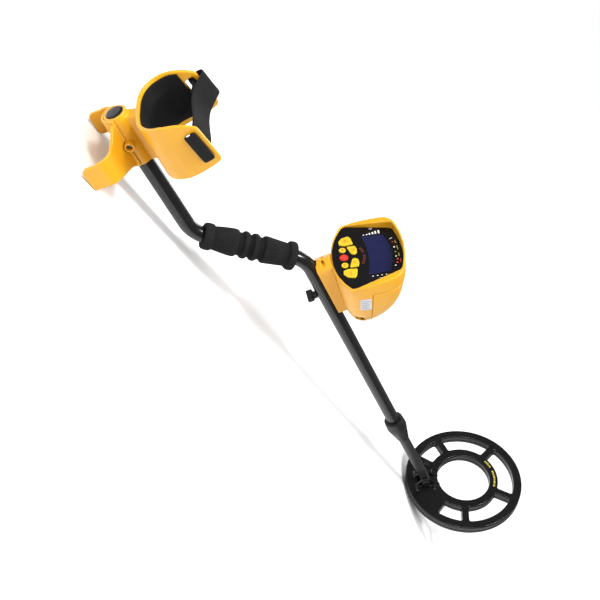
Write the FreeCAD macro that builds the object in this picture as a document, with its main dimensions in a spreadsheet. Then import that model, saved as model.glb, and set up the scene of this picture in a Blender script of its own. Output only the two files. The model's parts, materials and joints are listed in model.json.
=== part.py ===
import FreeCAD, Part
import math
import os

import Sketcher

from FreeCAD import Placement, Rotation, Vector

# Metal detector: S-bent rod, arm cuff with stand, control housing, lower stem and search coil.
#
# Every piece is drawn in the shaft frame, in millimetres: the origin is where the rod's axis
# bends under the control housing, +X runs down the straight shaft towards the coil, +Y is to
# the user's left and +Z is away from the ground.  One placement then tips the whole detector
# onto its two feet and the rim of the coil, with the floor at Z = 0.

X_AXIS = Vector(1, 0, 0)
Y_AXIS = Vector(0, 1, 0)
Z_AXIS = Vector(0, 0, 1)

# Driving dimensions in millimetres and degrees, one spreadsheet cell each.
DIMENSIONS = {
    # how the detector stands
    "stand_tilt": 8.3945,
    "stand_lift": 132.542,
    "stand_shift": -190.81,
    # rod
    "rod_diameter": 22.0,
    "rod_bore": 19.6,
    "rod_rear": -326.1,
    "rod_drop": 121.0,
    "rod_run": 113.7,
    "rod_bend": 52.0,
    "rod_front": 430.0,
    # lower stem and its lock
    "stem_diameter": 18.0,
    "stem_bore": 14.0,
    "stem_start": 160.0,
    "stem_shoulder": 584.0,
    "tongue_width": 12.0,
    "pivot_reach": 618.0,
    "pivot_bolt": 6.0,
    "wedge_length": 12.0,
    "wedge_plug": 20.0,
    "bushing_length": 35.0,
    "collar_start": 417.0,
    "collar_length": 57.0,
    "collar_diameter": 34.7,
    # running clearance on a radius
    "running_gap": 0.05,
    # foam grip
    "grip_bore": 22.2,
    "grip_flange": 41.0,
    "grip_body": 38.4,
    "grip_neck": 34.0,
    # arm cuff and stand
    "cuff_rear": -320.0,
    "cuff_length": 79.0,
    "cuff_half_width": 60.5,
    "cuff_middle": -45.0,
    "cuff_bottom": -97.0,
    "cuff_wall": 4.5,
    "sleeve_length": 74.0,
    "sleeve_diameter": 30.0,
    "slot_length": 40.0,
    "slot_height": 13.0,
    "foot_span": 59.7,
    "foot_drop": 175.0,
    "foot_wall": 4.0,
    "foot_width": 33.5,
    "liner_thickness": 2.6,
    "strap_width": 36.0,
    "strap_thickness": 2.2,
    # control housing
    "housing_wall": 3.0,
    "panel_tilt": 75.0,
    "panel_x": 22.0,
    "panel_z": 50.0,
    "panel_thickness": 3.0,
    "panel_low_width": 131.0,
    "panel_high_width": 99.0,
    "panel_low": 5.0,
    "panel_high": 74.0,
    "panel_low_bow": 22.0,
    "panel_high_bow": 8.5,
    "panel_corner": 9.0,
    "door_x": 43.0,
    "door_z": 76.0,
    "door_tilt": 18.1,
    "door_gap": 0.3,
    "key_proud": 1.6,
    "key_depth": 4.4,
    "key_gap": 0.2,
    # saddle and clamp
    "saddle_front": 110.0,
    "saddle_rear": 17.0,
    "saddle_nose": 8.5,
    "saddle_width": 30.0,
    "saddle_low": 8.3,
    "clamp_x": 72.0,
    "clamp_bolt": 6.0,
    "knob_length": 13.7,
    # coil
    "coil_x": 654.0,
    "coil_z": 65.55,
    "coil_tilt": 68.2,
    "coil_diameter": 216.0,
    "coil_hole": 97.3,
    "inner_ring": 128.6,
    "outer_ring": 185.4,
    "coil_thickness": 18.0,
    "cover_height": 10.0,
    "coil_wall": 2.5,
    "spoke_width": 12.6,
    "front_spoke": 36.75,
    "rear_spoke": 104.35,
    "sector_edge": 137.0,
    "ear_gap": 13.2,
    "ear_thickness": 5.0,
    "window_twist": 5.2,
    "pivot_height": 9.08,
    "pivot_offset": -74.23,
    "winding_diameter": 9.0,
}

doc = FreeCAD.newDocument("metal_detector")
sheet = doc.addObject("Spreadsheet::Sheet", "dims")
for row, (alias, value) in enumerate(DIMENSIONS.items(), start=1):
    sheet.set(f"A{row}", alias)
    sheet.set(f"B{row}", str(value))
    sheet.setAlias(f"B{row}", alias)
doc.recompute()


def dim(alias):
    """The value of one spreadsheet cell."""
    return float(sheet.get(alias))


# ---------------------------------------------------------------- frames

STAND = Placement(
    Vector(dim("stand_shift"), 0, dim("stand_lift")), Rotation(Y_AXIS, dim("stand_tilt"))
)
PANEL_ANGLE = math.radians(dim("panel_tilt"))
COIL_ANGLE = math.radians(dim("coil_tilt"))
GRIP_ANGLE = math.atan2(dim("rod_drop"), dim("rod_run"))


def frame_at(origin, x_axis, z_axis):
    """A local frame with its own X and Z directions, in the shaft frame."""
    y_axis = z_axis.cross(x_axis)
    return Placement(origin, Rotation(x_axis, y_axis, z_axis, "ZXY"))


SHAFT = Placement()
# Panel frame: X to the user's left, Y up the panel, Z into the housing.
PANEL = frame_at(
    Vector(dim("panel_x"), 0, dim("panel_z")),
    Y_AXIS,
    Vector(math.sin(PANEL_ANGLE), 0, -math.cos(PANEL_ANGLE)),
)
# Door frame: X is the way the battery door slides, Z away from the battery deck.
DOOR_ANGLE = math.radians(dim("door_tilt"))
DOOR = frame_at(
    Vector(dim("door_x"), 0, dim("door_z")),
    Vector(math.cos(DOOR_ANGLE), 0, -math.sin(DOOR_ANGLE)),
    Vector(math.sin(DOOR_ANGLE), 0, math.cos(DOOR_ANGLE)),
)
# Coil frame: X from the hinge towards the coil's toe, Z out of its top face.
COIL = frame_at(
    Vector(dim("coil_x"), 0, dim("coil_z")),
    Vector(math.cos(COIL_ANGLE), 0, math.sin(COIL_ANGLE)),
    Vector(-math.sin(COIL_ANGLE), 0, math.cos(COIL_ANGLE)),
)
# Grip frame: Z runs from the bend under the housing back down the handle.
GRIP = frame_at(
    Vector(0, 0, 0), Y_AXIS, Vector(-math.cos(GRIP_ANGLE), 0, -math.sin(GRIP_ANGLE))
)
# Axle frame: Z along the shaft.
ALONG = frame_at(Vector(0, 0, 0), Y_AXIS, X_AXIS)
REAR = frame_at(Vector(dim("rod_rear"), 0, -dim("rod_drop")), Y_AXIS, -X_AXIS)
PIVOT = Placement(Vector(dim("pivot_reach"), 0, 0), Rotation(X_AXIS, -90))
CLAMP = Placement(Vector(dim("clamp_x"), 0, 0), Rotation(X_AXIS, 180))


# ---------------------------------------------------------------- building helpers

nodes = {}


def finish_node(obj, label, local):
    """Name one sub-part and stand it in its place on the floor."""
    obj.Label = label
    obj.Placement = STAND.multiply(local)
    nodes[label] = obj
    return obj


def solid_node(label, shape, local=SHAFT):
    """A sub-part whose shape is made directly."""
    obj = doc.addObject("Part::Feature", label)
    obj.Shape = shape
    return finish_node(obj, label, local)


def bind(obj, **expressions):
    """Bind properties of an object to expressions on the spreadsheet."""
    for name, expression in expressions.items():
        obj.setExpression(name, expression)
    return obj


def cylinder(name, radius, height, base=Vector(), axis=Z_AXIS):
    """A Part::Cylinder with bound radius and height."""
    obj = doc.addObject("Part::Cylinder", name)
    bind(obj, Radius=radius, Height=height)
    obj.Placement = Placement(base, Rotation(Z_AXIS, axis))
    return obj


def fuse(name, *parts):
    """A Part::MultiFuse of several objects."""
    obj = doc.addObject("Part::MultiFuse", name)
    obj.Shapes = list(parts)
    return obj


def plane_of(body, role):
    """One origin plane of a body, by its role."""
    return next(feature for feature in body.Origin.OriginFeatures if feature.Role == role)


def sketch_on(body, role, name, offset=Placement()):
    """An empty sketch attached to one of a body's origin planes."""
    sketch = body.newObject("Sketcher::SketchObject", name)
    sketch.AttachmentSupport = (plane_of(body, role), [""])
    sketch.MapMode = "FlatFace"
    sketch.AttachmentOffset = offset
    return sketch


def sketch_polygon(sketch, points):
    """Draw a closed polygon whose corners are bound to pairs of expressions."""
    values = [(evaluate(x), evaluate(y)) for x, y in points]
    count = len(points)
    for index in range(count):
        start = Vector(*values[index], 0)
        end = Vector(*values[(index + 1) % count], 0)
        sketch.addGeometry(Part.LineSegment(start, end), False)
    for index in range(count):
        sketch.addConstraint(Sketcher.Constraint("Coincident", index, 2, (index + 1) % count, 1))
    for index, corner in enumerate(points):
        for kind, axis, text, value in (
            ("DistanceX", -2, corner[0], values[index][0]),
            ("DistanceY", -1, corner[1], values[index][1]),
        ):
            if abs(value) < 1e-9:
                sketch.addConstraint(Sketcher.Constraint("PointOnObject", index, 1, axis))
                continue
            number = sketch.addConstraint(Sketcher.Constraint(kind, -1, 1, index, 1, value))
            name = f"{kind[-1].lower()}{index}"
            sketch.renameConstraint(number, name)
            sketch.setExpression(f"Constraints.{name}", text)


def evaluate(text):
    """The number that a spreadsheet expression stands for."""
    return float(doc.getObject("dims").evalExpression(text))


def turned(label, points, local):
    """A body of revolution about Z, from (radius, height) expression pairs."""
    body = doc.addObject("PartDesign::Body", label)
    sketch = sketch_on(body, "XZ_Plane", label + "_profile")
    sketch_polygon(sketch, points)
    feature = body.newObject("PartDesign::Revolution", label + "_turn")
    feature.Profile = sketch
    feature.ReferenceAxis = (sketch, ["V_Axis"])
    feature.Angle = 360.0
    return finish_node(body, label, local)


def polygon_face(points):
    """A flat face from corner points."""
    return Part.Face(Part.makePolygon(list(points) + [points[0]]))


def prism(points, direction):
    """A polygon pushed along a direction."""
    return polygon_face(points).extrude(direction)


def round_vertical(shape, radius, wanted=lambda middle: True):
    """Fillet the straight edges that run along Z, where their middle is wanted."""
    edges = []
    for edge in shape.Edges:
        middle = edge.valueAt((edge.FirstParameter + edge.LastParameter) / 2)
        along = edge.tangentAt(edge.FirstParameter)
        if edge.Curve.TypeId == "Part::GeomLine" and abs(abs(along.z) - 1) < 1e-6 and wanted(middle):
            edges.append(edge)
    return shape.makeFillet(radius, edges)


def tube(outer, inner, length, base=Vector(), axis=Z_AXIS):
    """A plain tube."""
    return Part.makeCylinder(outer, length, base, axis).cut(
        Part.makeCylinder(inner, length, base, axis)
    )


def slab(low, high):
    """A box between two opposite corners."""
    return Part.makeBox(high.x - low.x, high.y - low.y, high.z - low.z, low)


# ---------------------------------------------------------------- rod

BEND_TANGENT = dim("rod_bend") * math.tan(GRIP_ANGLE / 2)
BEND_REAR = Vector(-dim("rod_run"), 0, -dim("rod_drop"))
HANDLE = Vector(math.cos(GRIP_ANGLE), 0, math.sin(GRIP_ANGLE))


def rod_path():
    """The rod's centre line: three straight runs and two equal bends."""
    rear = Vector(dim("rod_rear"), 0, -dim("rod_drop"))
    front = Vector(dim("rod_front"), 0, 0)
    origin = Vector(0, 0, 0)
    low_in = BEND_REAR - X_AXIS * BEND_TANGENT
    low_out = BEND_REAR + HANDLE * BEND_TANGENT
    high_in = origin - HANDLE * BEND_TANGENT
    high_out = origin + X_AXIS * BEND_TANGENT
    half = GRIP_ANGLE / 2
    sagitta = dim("rod_bend") * (1 / math.cos(half) - 1)
    low_way = Vector(-math.sin(half), 0, math.cos(half))
    low_arc = Part.Arc(low_in, BEND_REAR + low_way * sagitta, low_out)
    high_arc = Part.Arc(high_in, origin - low_way * sagitta, high_out)
    runs = [
        Part.LineSegment(rear, low_in),
        low_arc,
        Part.LineSegment(low_out, high_in),
        high_arc,
        Part.LineSegment(high_out, front),
    ]
    return Part.Wire([run.toShape() for run in runs])


def swept(path, radius):
    """A round bar along a path."""
    start = path.Edges[0].valueAt(path.Edges[0].FirstParameter)
    along = path.Edges[0].tangentAt(path.Edges[0].FirstParameter)
    circle = Part.Wire(Part.makeCircle(radius, start, along))
    return path.makePipeShell([circle], True, False)


def clamp_hole(radius):
    """The drilling for the clamp bolt, down through the rod and the saddle."""
    return Part.makeCylinder(radius, 80, Vector(dim("clamp_x"), 0, -40))


BOLT_HOLE = dim("clamp_bolt") / 2 + 0.1
upper_rod = swept(rod_path(), dim("rod_diameter") / 2).cut(swept(rod_path(), dim("rod_bore") / 2))
solid_node("upper_rod", upper_rod.cut(clamp_hole(BOLT_HOLE)))

turned(
    "rod_end_cap",
    [
        ("0", "-14"),
        ("dims.rod_bore / 2 - dims.running_gap", "-14"),
        ("dims.rod_bore / 2 - dims.running_gap", "0"),
        ("dims.rod_diameter / 2", "0"),
        ("dims.rod_diameter / 2", "1.6"),
        ("dims.rod_diameter / 2 - 2.2", "2.8"),
        ("0", "3.4"),
    ],
    REAR,
)

GRIP_PROFILE = [
    (18, "grip_flange", -2.6),
    (20, "grip_flange", 0),
    (29, "grip_flange", 0),
    (31, "grip_neck", 0.6),
    (66, "grip_body", 0),
    (68, "grip_neck", 0),
    (74, "grip_neck", 0),
    (76, "grip_body", 0),
    (82, "grip_body", 0),
    (84, "grip_neck", 0),
    (88, "grip_neck", 0),
    (90, "grip_body", 0.3),
    (96, "grip_body", 0.3),
    (98, "grip_neck", 0),
    (104, "grip_neck", 0),
    (106, "grip_body", 0.6),
    (138, "grip_neck", -1),
    (140, "grip_body", -1),
    (151, "grip_body", -0.4),
    (153, "grip_neck", 1),
]
turned(
    "foam_grip",
    [("dims.grip_bore / 2", "18")]
    + [(f"dims.{name} / 2 + {extra / 2}", str(place)) for place, name, extra in GRIP_PROFILE]
    + [("dims.grip_bore / 2", "153")],
    GRIP,
)

# ---------------------------------------------------------------- lower stem and twist lock

turned(
    "stem_bushing",
    [
        ("dims.stem_diameter / 2 + dims.running_gap", "dims.rod_front - dims.bushing_length"),
        ("dims.rod_bore / 2", "dims.rod_front - dims.bushing_length"),
        ("dims.rod_bore / 2", "dims.rod_front"),
        ("dims.stem_diameter / 2 + dims.running_gap", "dims.rod_front"),
    ],
    ALONG,
)

turned(
    "stem_wedge",
    [
        ("0", "dims.stem_start - dims.wedge_length"),
        ("dims.rod_bore / 2 - dims.running_gap", "dims.stem_start - dims.wedge_length"),
        ("dims.rod_bore / 2 - dims.running_gap", "dims.stem_start"),
        ("dims.stem_bore / 2", "dims.stem_start"),
        ("dims.stem_bore / 2", "dims.stem_start + dims.wedge_plug"),
        ("0", "dims.stem_start + dims.wedge_plug"),
    ],
    ALONG,
)

turned(
    "lock_collar",
    [
        ("dims.rod_diameter / 2 + dims.running_gap", "dims.collar_start"),
        ("dims.collar_diameter / 2 - 1.9", "dims.collar_start"),
        ("dims.collar_diameter / 2 - 0.8", "dims.collar_start + 1.6"),
        ("dims.collar_diameter / 2", "dims.collar_start + 15"),
        ("dims.collar_diameter / 2", "dims.collar_start + 21"),
        ("dims.collar_diameter / 2 - 1.2", "dims.collar_start + 28"),
        ("dims.stem_diameter / 2 + 2.4", "dims.collar_start + dims.collar_length - 5"),
        ("dims.stem_diameter / 2 + 1.6", "dims.collar_start + dims.collar_length"),
        ("dims.stem_diameter / 2 + 0.3", "dims.collar_start + dims.collar_length"),
        ("dims.stem_diameter / 2 + 0.3", "dims.rod_front + 1"),
        ("dims.rod_diameter / 2 + dims.running_gap", "dims.rod_front + 1"),
    ],
    ALONG,
)


EYE_RADIUS = 8.6


def lower_stem():
    """The round stem, narrowed to a flat tongue with a round end at the hinge."""
    radius = dim("stem_diameter") / 2
    half = dim("tongue_width") / 2
    shoulder = dim("stem_shoulder")
    reach = dim("pivot_reach")
    stem = Part.makeCylinder(radius, shoulder - dim("stem_start"), Vector(dim("stem_start"), 0, 0), X_AXIS)
    bore = Part.makeCylinder(
        dim("stem_bore") / 2, shoulder - dim("stem_start") - 30, Vector(dim("stem_start"), 0, 0), X_AXIS
    )
    tongue = slab(Vector(shoulder - 1, -half, -EYE_RADIUS), Vector(reach, half, EYE_RADIUS))
    eye = Part.makeCylinder(EYE_RADIUS, 2 * half, Vector(reach, -half, 0), Y_AXIS)
    hole = Part.makeCylinder(
        dim("pivot_bolt") / 2 + dim("running_gap"), 4 * half, Vector(reach, -2 * half, 0), Y_AXIS
    )
    core = Part.makeCylinder(radius, reach, Vector(0, 0, 0), X_AXIS)
    neck = tongue.common(core.fuse(eye)).fuse(eye)
    return stem.fuse(neck).cut(bore).cut(hole).removeSplitter()


solid_node("lower_stem", lower_stem())


# ---------------------------------------------------------------- arm cuff, stand, pad and strap

CUFF_HALF = dim("cuff_half_width")
CUFF_MIDDLE = dim("cuff_middle")
CUFF_BOTTOM = dim("cuff_bottom")
CUFF_REAR = dim("cuff_rear")
CUFF_FRONT = dim("cuff_rear") + dim("cuff_length")
SLEEVE_REAR = dim("rod_rear") - 0.9
TIP_REAR = Vector(-304.0, 0, -24.0)
TIP_FRONT = Vector(-251.0, 0, -15.0)
TIP_CORNER = 7.0
TIP_SLOPE = math.degrees(math.atan2(TIP_FRONT.z - TIP_REAR.z, TIP_FRONT.x - TIP_REAR.x))
TROUGH_SQUARENESS = 3.0
TROUGH_POINTS = 15


def trough_face(inset, top, place):
    """The filled U-shaped section: a squarish round bottom under two upright arms."""
    half = CUFF_HALF - inset
    depth = CUFF_MIDDLE - CUFF_BOTTOM - inset
    points = []
    for index in range(TROUGH_POINTS):
        angle = math.pi * index / (TROUGH_POINTS - 1)
        power = 2 / TROUGH_SQUARENESS
        across = math.copysign(abs(math.cos(angle)) ** power, math.cos(angle))
        down = abs(math.sin(angle)) ** power
        points.append(Vector(place, half * across, CUFF_MIDDLE - depth * down))
    bottom = Part.BSplineCurve()
    bottom.interpolate(points, InitialTangent=-Z_AXIS, FinalTangent=Z_AXIS)
    left = Vector(place, half, top)
    right = Vector(place, -half, top)
    edges = [
        Part.LineSegment(left, points[0]).toShape(),
        bottom.toShape(),
        Part.LineSegment(points[-1], right).toShape(),
        Part.LineSegment(right, left).toShape(),
    ]
    return Part.Face(Part.Wire(edges))


def cuff_band(inset, thickness, rear, front, top):
    """A U-shaped wall, open above top, whose outside is inset from the cuff's own outside."""
    length = Vector(front - rear, 0, 0)
    outer = trough_face(inset, top, rear).extrude(length)
    return outer.cut(trough_face(inset + thickness, top + 1, rear).extrude(length))


def arm_outline(low):
    """The cuff seen from the side: broad at mid height, narrowing to a tip that rises forward."""
    rear_bulge = Vector(CUFF_REAR, 0, -66)
    front_bulge = Vector(CUFF_FRONT, 0, -66)
    low_rear = Vector(CUFF_REAR + 2, 0, low)
    low_front = Vector(CUFF_FRONT - 6, 0, low)
    edges = [
        Part.LineSegment(low_rear, rear_bulge).toShape(),
        Part.Arc(rear_bulge, Vector(CUFF_REAR + 5, 0, -44), TIP_REAR).toShape(),
        Part.LineSegment(TIP_REAR, TIP_FRONT).toShape(),
        Part.Arc(TIP_FRONT, Vector(CUFF_FRONT - 2, 0, -44), front_bulge).toShape(),
        Part.LineSegment(front_bulge, low_front).toShape(),
        Part.LineSegment(low_front, low_rear).toShape(),
    ]
    outline = Part.Face(Part.Wire(edges)).extrude(Vector(0, 200, 0))
    outline.translate(Vector(0, -100, 0))
    corners = [
        edge for edge in outline.Edges if edge.CenterOfMass.z > TIP_REAR.z - 1 and edge.Length > 150
    ]
    return outline.makeFillet(TIP_CORNER, corners)


def strap_slots():
    """The two slots that the strap runs through, along the tip edge."""
    length = dim("slot_length")
    height = dim("slot_height")
    opening = Part.makeBox(length, 200, height, Vector(-length / 2, -100, -height / 2))
    opening = round_across(opening, 2.5)
    opening.Placement = Placement(SLOT_CENTRE, Rotation(Y_AXIS, -TIP_SLOPE))
    return opening


def round_across(shape, radius):
    """Fillet the straight edges that run along Y."""
    edges = [edge for edge in shape.Edges if abs(abs(edge.tangentAt(0).y) - 1) < 1e-6]
    return shape.makeFillet(radius, edges)


SLOT_CENTRE = Vector(-279, 0, -32.5)
BOSS_X = -288.0
BOSS_REACH = 24.0


def arm_cuff():
    """The moulded trough, the sleeve that grips the rod and the rib between them."""
    rod_z = -dim("rod_drop")
    trough = cuff_band(0, dim("cuff_wall"), CUFF_REAR, CUFF_FRONT, 0).common(arm_outline(-200))
    sleeve = Part.makeCylinder(
        dim("sleeve_diameter") / 2, dim("sleeve_length"), Vector(SLEEVE_REAR, 0, rod_z), X_AXIS
    )
    rib = prism(
        [
            Vector(SLEEVE_REAR + 3, -9, rod_z),
            Vector(SLEEVE_REAR + dim("sleeve_length") - 2, -9, rod_z),
            Vector(CUFF_FRONT - 8, -9, CUFF_BOTTOM + 3),
            Vector(CUFF_REAR + 4, -9, CUFF_BOTTOM + 3),
        ],
        Vector(0, 18, 0),
    )
    boss = Part.makeCylinder(6.75, BOSS_REACH, Vector(BOSS_X, 0, rod_z), -Y_AXIS)
    screw_hole = Part.makeCylinder(4.0, 8, Vector(BOSS_X, -BOSS_REACH, rod_z), Y_AXIS)
    shank_hole = Part.makeCylinder(1.8, 30, Vector(BOSS_X, -BOSS_REACH, rod_z), Y_AXIS)
    bore = Part.makeCylinder(
        dim("rod_diameter") / 2 + dim("running_gap"), 200, Vector(SLEEVE_REAR - 60, 0, rod_z), X_AXIS
    )
    body = trough.fuse([sleeve, rib, boss]).cut(bore)
    return body.cut(screw_hole).cut(shank_hole).cut(strap_slots()).removeSplitter()


solid_node("arm_cuff", arm_cuff())

cuff_screw_head = Part.makeCylinder(3.4, 2.4, Vector(BOSS_X, -19.0, -dim("rod_drop")), Y_AXIS)
cuff_screw_shank = Part.makeCylinder(1.7, 7.95, Vector(BOSS_X, -19.0, -dim("rod_drop")), Y_AXIS)
solid_node("cuff_screw", cuff_screw_head.fuse(cuff_screw_shank))


LEG_SHOULDER = Vector(0, 42.0, -133.0)
LEG_KNEE = Vector(0, 59.7, -157.0)
LEG_ROOT = Vector(0, 8.0, -122.0)
FOOT_FRONT = -271.5
FOOT_REAR = FOOT_FRONT - dim("foot_width")


def stand_leg(side):
    """One foot: a wall that leaves the sleeve sideways and turns down to its tip."""
    wall = dim("foot_wall")
    tip = Vector(0, dim("foot_span"), -dim("foot_drop"))
    outer = [
        LEG_ROOT,
        LEG_SHOULDER,
        LEG_SHOULDER + Vector(0, 12.6, -8.4),
        LEG_KNEE,
        tip,
    ]
    inward = [
        Vector(0, -1, -wall),
        Vector(0, -1.5, -wall),
        Vector(0, -0.75 * wall, -0.7 * wall),
        Vector(0, -wall, -1),
        Vector(0, -wall, 0),
    ]
    inner = [point + step for point, step in zip(outer, inward)]
    edges = [
        Part.LineSegment(outer[0], outer[1]).toShape(),
        Part.Arc(outer[1], outer[2], outer[3]).toShape(),
        Part.LineSegment(outer[3], outer[4]).toShape(),
        Part.LineSegment(outer[4], inner[4]).toShape(),
        Part.LineSegment(inner[4], inner[3]).toShape(),
        Part.Arc(inner[3], inner[2], inner[1]).toShape(),
        Part.LineSegment(inner[1], inner[0]).toShape(),
        Part.LineSegment(inner[0], outer[0]).toShape(),
    ]
    band = Part.Face(Part.Wire(edges)).extrude(Vector(dim("sleeve_length"), 0, 0))
    band.translate(Vector(SLEEVE_REAR, 0, 0))
    leg = band.common(leg_plan()).common(leg_tip())
    if side < 0:
        leg = leg.mirror(Vector(), Y_AXIS)
    return leg


def leg_plan():
    """The foot seen from above: full width at the sleeve, drawn in towards its shoulder."""
    sleeve_front = SLEEVE_REAR + dim("sleeve_length") - 2
    out = 200.0
    edges = [
        Part.LineSegment(Vector(SLEEVE_REAR, 0, -out), Vector(SLEEVE_REAR, 12, -out)).toShape(),
        Part.Arc(
            Vector(SLEEVE_REAR, 12, -out),
            Vector(FOOT_REAR - 9, 28, -out),
            Vector(FOOT_REAR - 1.5, 47, -out),
        ).toShape(),
        Part.LineSegment(
            Vector(FOOT_REAR - 1.5, 47, -out), Vector(FOOT_REAR, 70, -out)
        ).toShape(),
        Part.LineSegment(Vector(FOOT_REAR, 70, -out), Vector(FOOT_FRONT, 70, -out)).toShape(),
        Part.LineSegment(Vector(FOOT_FRONT, 70, -out), Vector(FOOT_FRONT + 2, 47, -out)).toShape(),
        Part.Arc(
            Vector(FOOT_FRONT + 2, 47, -out),
            Vector(FOOT_FRONT + 8, 28, -out),
            Vector(sleeve_front, 12, -out),
        ).toShape(),
        Part.LineSegment(Vector(sleeve_front, 12, -out), Vector(sleeve_front, 0, -out)).toShape(),
        Part.LineSegment(Vector(sleeve_front, 0, -out), Vector(SLEEVE_REAR, 0, -out)).toShape(),
    ]
    return Part.Face(Part.Wire(edges)).extrude(Vector(0, 0, out))


def leg_tip():
    """The foot's outline at its tip, with two round corners."""
    low = -dim("foot_drop")
    outline = slab(Vector(FOOT_REAR, 0, low), Vector(FOOT_FRONT, 100, low + 60))
    tips = [
        edge
        for edge in outline.Edges
        if abs(edge.CenterOfMass.z - low) < 0.1 and edge.Length > 90
    ]
    above = slab(Vector(-400, 0, low + 20), Vector(-200, 100, 0))
    return outline.makeFillet(7.0, tips).fuse(above)


def cuff_stand():
    """Both feet with the half collar that seats them under the sleeve."""
    rod_z = -dim("rod_drop")
    collar = tube(
        dim("sleeve_diameter") / 2 + 3.4,
        dim("sleeve_diameter") / 2,
        72,
        Vector(SLEEVE_REAR, 0, rod_z),
        X_AXIS,
    )
    lower_half = slab(Vector(-400, -60, rod_z - 60), Vector(-200, 60, rod_z - 1.0))
    legs = stand_leg(1).fuse(stand_leg(-1))
    sleeve = Part.makeCylinder(dim("sleeve_diameter") / 2, 300, Vector(-400, 0, rod_z), X_AXIS)
    boss_room = Part.makeCylinder(7.2, 60, Vector(BOSS_X, 0, rod_z), -Y_AXIS)
    return collar.common(lower_half).fuse(legs).cut(sleeve).cut(boss_room).removeSplitter()


solid_node("cuff_stand", cuff_stand())

LINER_GAP = 0.3
LINER_DROP = 7.4


def cuff_liner():
    """The foam sheet inside the trough, kept in from its edges and ending below the slots."""
    sheet = cuff_band(
        dim("cuff_wall") + LINER_GAP, dim("liner_thickness"), CUFF_REAR + 4, CUFF_FRONT - 8, -20
    )
    below_slots = Part.makeBox(200, 200, 200, Vector(-100, -100, -200 - LINER_DROP))
    below_slots.Placement = Placement(SLOT_CENTRE, Rotation(Y_AXIS, -TIP_SLOPE))
    within = arm_outline(-200)
    within.translate(Vector(3, 0, 0))
    return sheet.common(below_slots).common(within)


solid_node("cuff_liner", cuff_liner())

STRAP_ROUTE = [
    (-66.0, -37.5),
    (-64.5, -33.0),
    (-54.0, -31.0),
    (-30.0, -28.5),
    (8.0, -30.0),
    (36.0, -26.0),
    (52.0, -17.0),
    (60.0, -13.0),
    (66.0, -16.5),
    (67.0, -32.0),
]


def cuff_strap():
    """A flat band from the near slot, across the arm space and over the far tip."""
    half = dim("strap_thickness") / 2
    ahead = [Vector(0, y, z) for y, z in STRAP_ROUTE]
    upper = []
    lower = []
    for index, point in enumerate(ahead):
        before = ahead[max(index - 1, 0)]
        after = ahead[min(index + 1, len(ahead) - 1)]
        along = (after - before).normalize()
        across = Vector(0, -along.z, along.y) * half
        upper.append(point + across)
        lower.append(point - across)
    band = polygon_face(upper + lower[::-1])
    band.translate(Vector(SLOT_CENTRE.x - dim("strap_width") / 2, 0, 0))
    strap = band.extrude(Vector(dim("strap_width"), 0, 0))
    strap.rotate(SLOT_CENTRE, Y_AXIS, -TIP_SLOPE)
    return strap


solid_node("cuff_strap", cuff_strap())


# ---------------------------------------------------------------- control housing

# Sections across the bucket: place along the shaft, low, high, half width, taper, how far the
# low edge bows, and how square the section is below and above its middle (2 is an ellipse).
HOUSING_SECTIONS = [
    (8, 31.0, 137.0, 67.0, 0.055, 20.0, 6.0, 4.2),
    (28, 29.5, 134.0, 66.8, 0.055, 18.0, 5.0, 4.0),
    (50, 27.0, 128.0, 65.0, 0.065, 14.0, 4.2, 3.6),
    (72, 24.5, 119.5, 61.5, 0.075, 10.0, 3.6, 3.3),
    (93, 22.5, 108.5, 55.5, 0.085, 6.0, 3.1, 3.0),
    (109, 23.5, 96.0, 46.5, 0.095, 3.0, 2.7, 2.7),
    (121, 27.5, 83.5, 35.0, 0.10, 1.0, 2.4, 2.5),
    (127, 33.0, 73.0, 22.5, 0.10, 0.0, 2.2, 2.4),
]
SECTION_POINTS = 32


def section_wire(place, low, high, half_width, taper, bow, square_low, square_high, inset):
    """One rounded, tapered cross-section of the bucket as a closed smooth curve."""
    middle = (low + high) / 2
    half_height = (high - low) / 2 - inset
    points = []
    for index in range(SECTION_POINTS):
        angle = 2 * math.pi * (index + 0.5) / SECTION_POINTS
        power = 2 / (square_high if math.sin(angle) > 0 else square_low)
        across = math.copysign(abs(math.cos(angle)) ** power, math.cos(angle))
        up = math.copysign(abs(math.sin(angle)) ** power, math.sin(angle))
        width = (half_width - inset) * (1 - taper * up)
        rise = bow * across**2 * (1 - up) / 2
        points.append(Vector(place, width * across, middle + half_height * up + rise))
    curve = Part.BSplineCurve()
    curve.interpolate(points, PeriodicFlag=True)
    return Part.Wire(curve.toShape())


def bucket(inset, ahead):
    """The rounded bucket, drawn in by inset all round and by ahead at its nose."""
    wires = []
    for place, *shape in HOUSING_SECTIONS:
        shift = ahead * max(0.0, (place - 72) / 55)
        wires.append(section_wire(place - shift, *shape, inset))
    return Part.makeLoft(wires, True, False)


def panel_outline(inset, low, high):
    """The fascia's outline: bowed top and bottom, straight leaning sides, round corners."""
    low_half = dim("panel_low_width") / 2 - inset
    high_half = dim("panel_high_width") / 2 - inset
    bottom = dim("panel_low") + inset
    top = dim("panel_high") - inset
    corners = [Vector(low_half, bottom, 0), Vector(high_half, top, 0)]
    corners += [Vector(-high_half, top, 0), Vector(-low_half, bottom, 0)]
    edges = [
        Part.LineSegment(corners[0], corners[1]).toShape(),
        Part.Arc(corners[1], Vector(0, top + dim("panel_high_bow"), 0), corners[2]).toShape(),
        Part.LineSegment(corners[2], corners[3]).toShape(),
        Part.Arc(corners[3], Vector(0, bottom - dim("panel_low_bow"), 0), corners[0]).toShape(),
    ]
    solid = Part.Face(Part.Wire(edges)).extrude(Vector(0, 0, high - low))
    solid.translate(Vector(0, 0, low))
    return round_vertical(solid, dim("panel_corner"))


def placed(shape, frame):
    """A copy of a shape moved from a local frame into the shaft frame."""
    moved = shape.copy()
    moved.Placement = frame.multiply(moved.Placement)
    return moved


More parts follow.
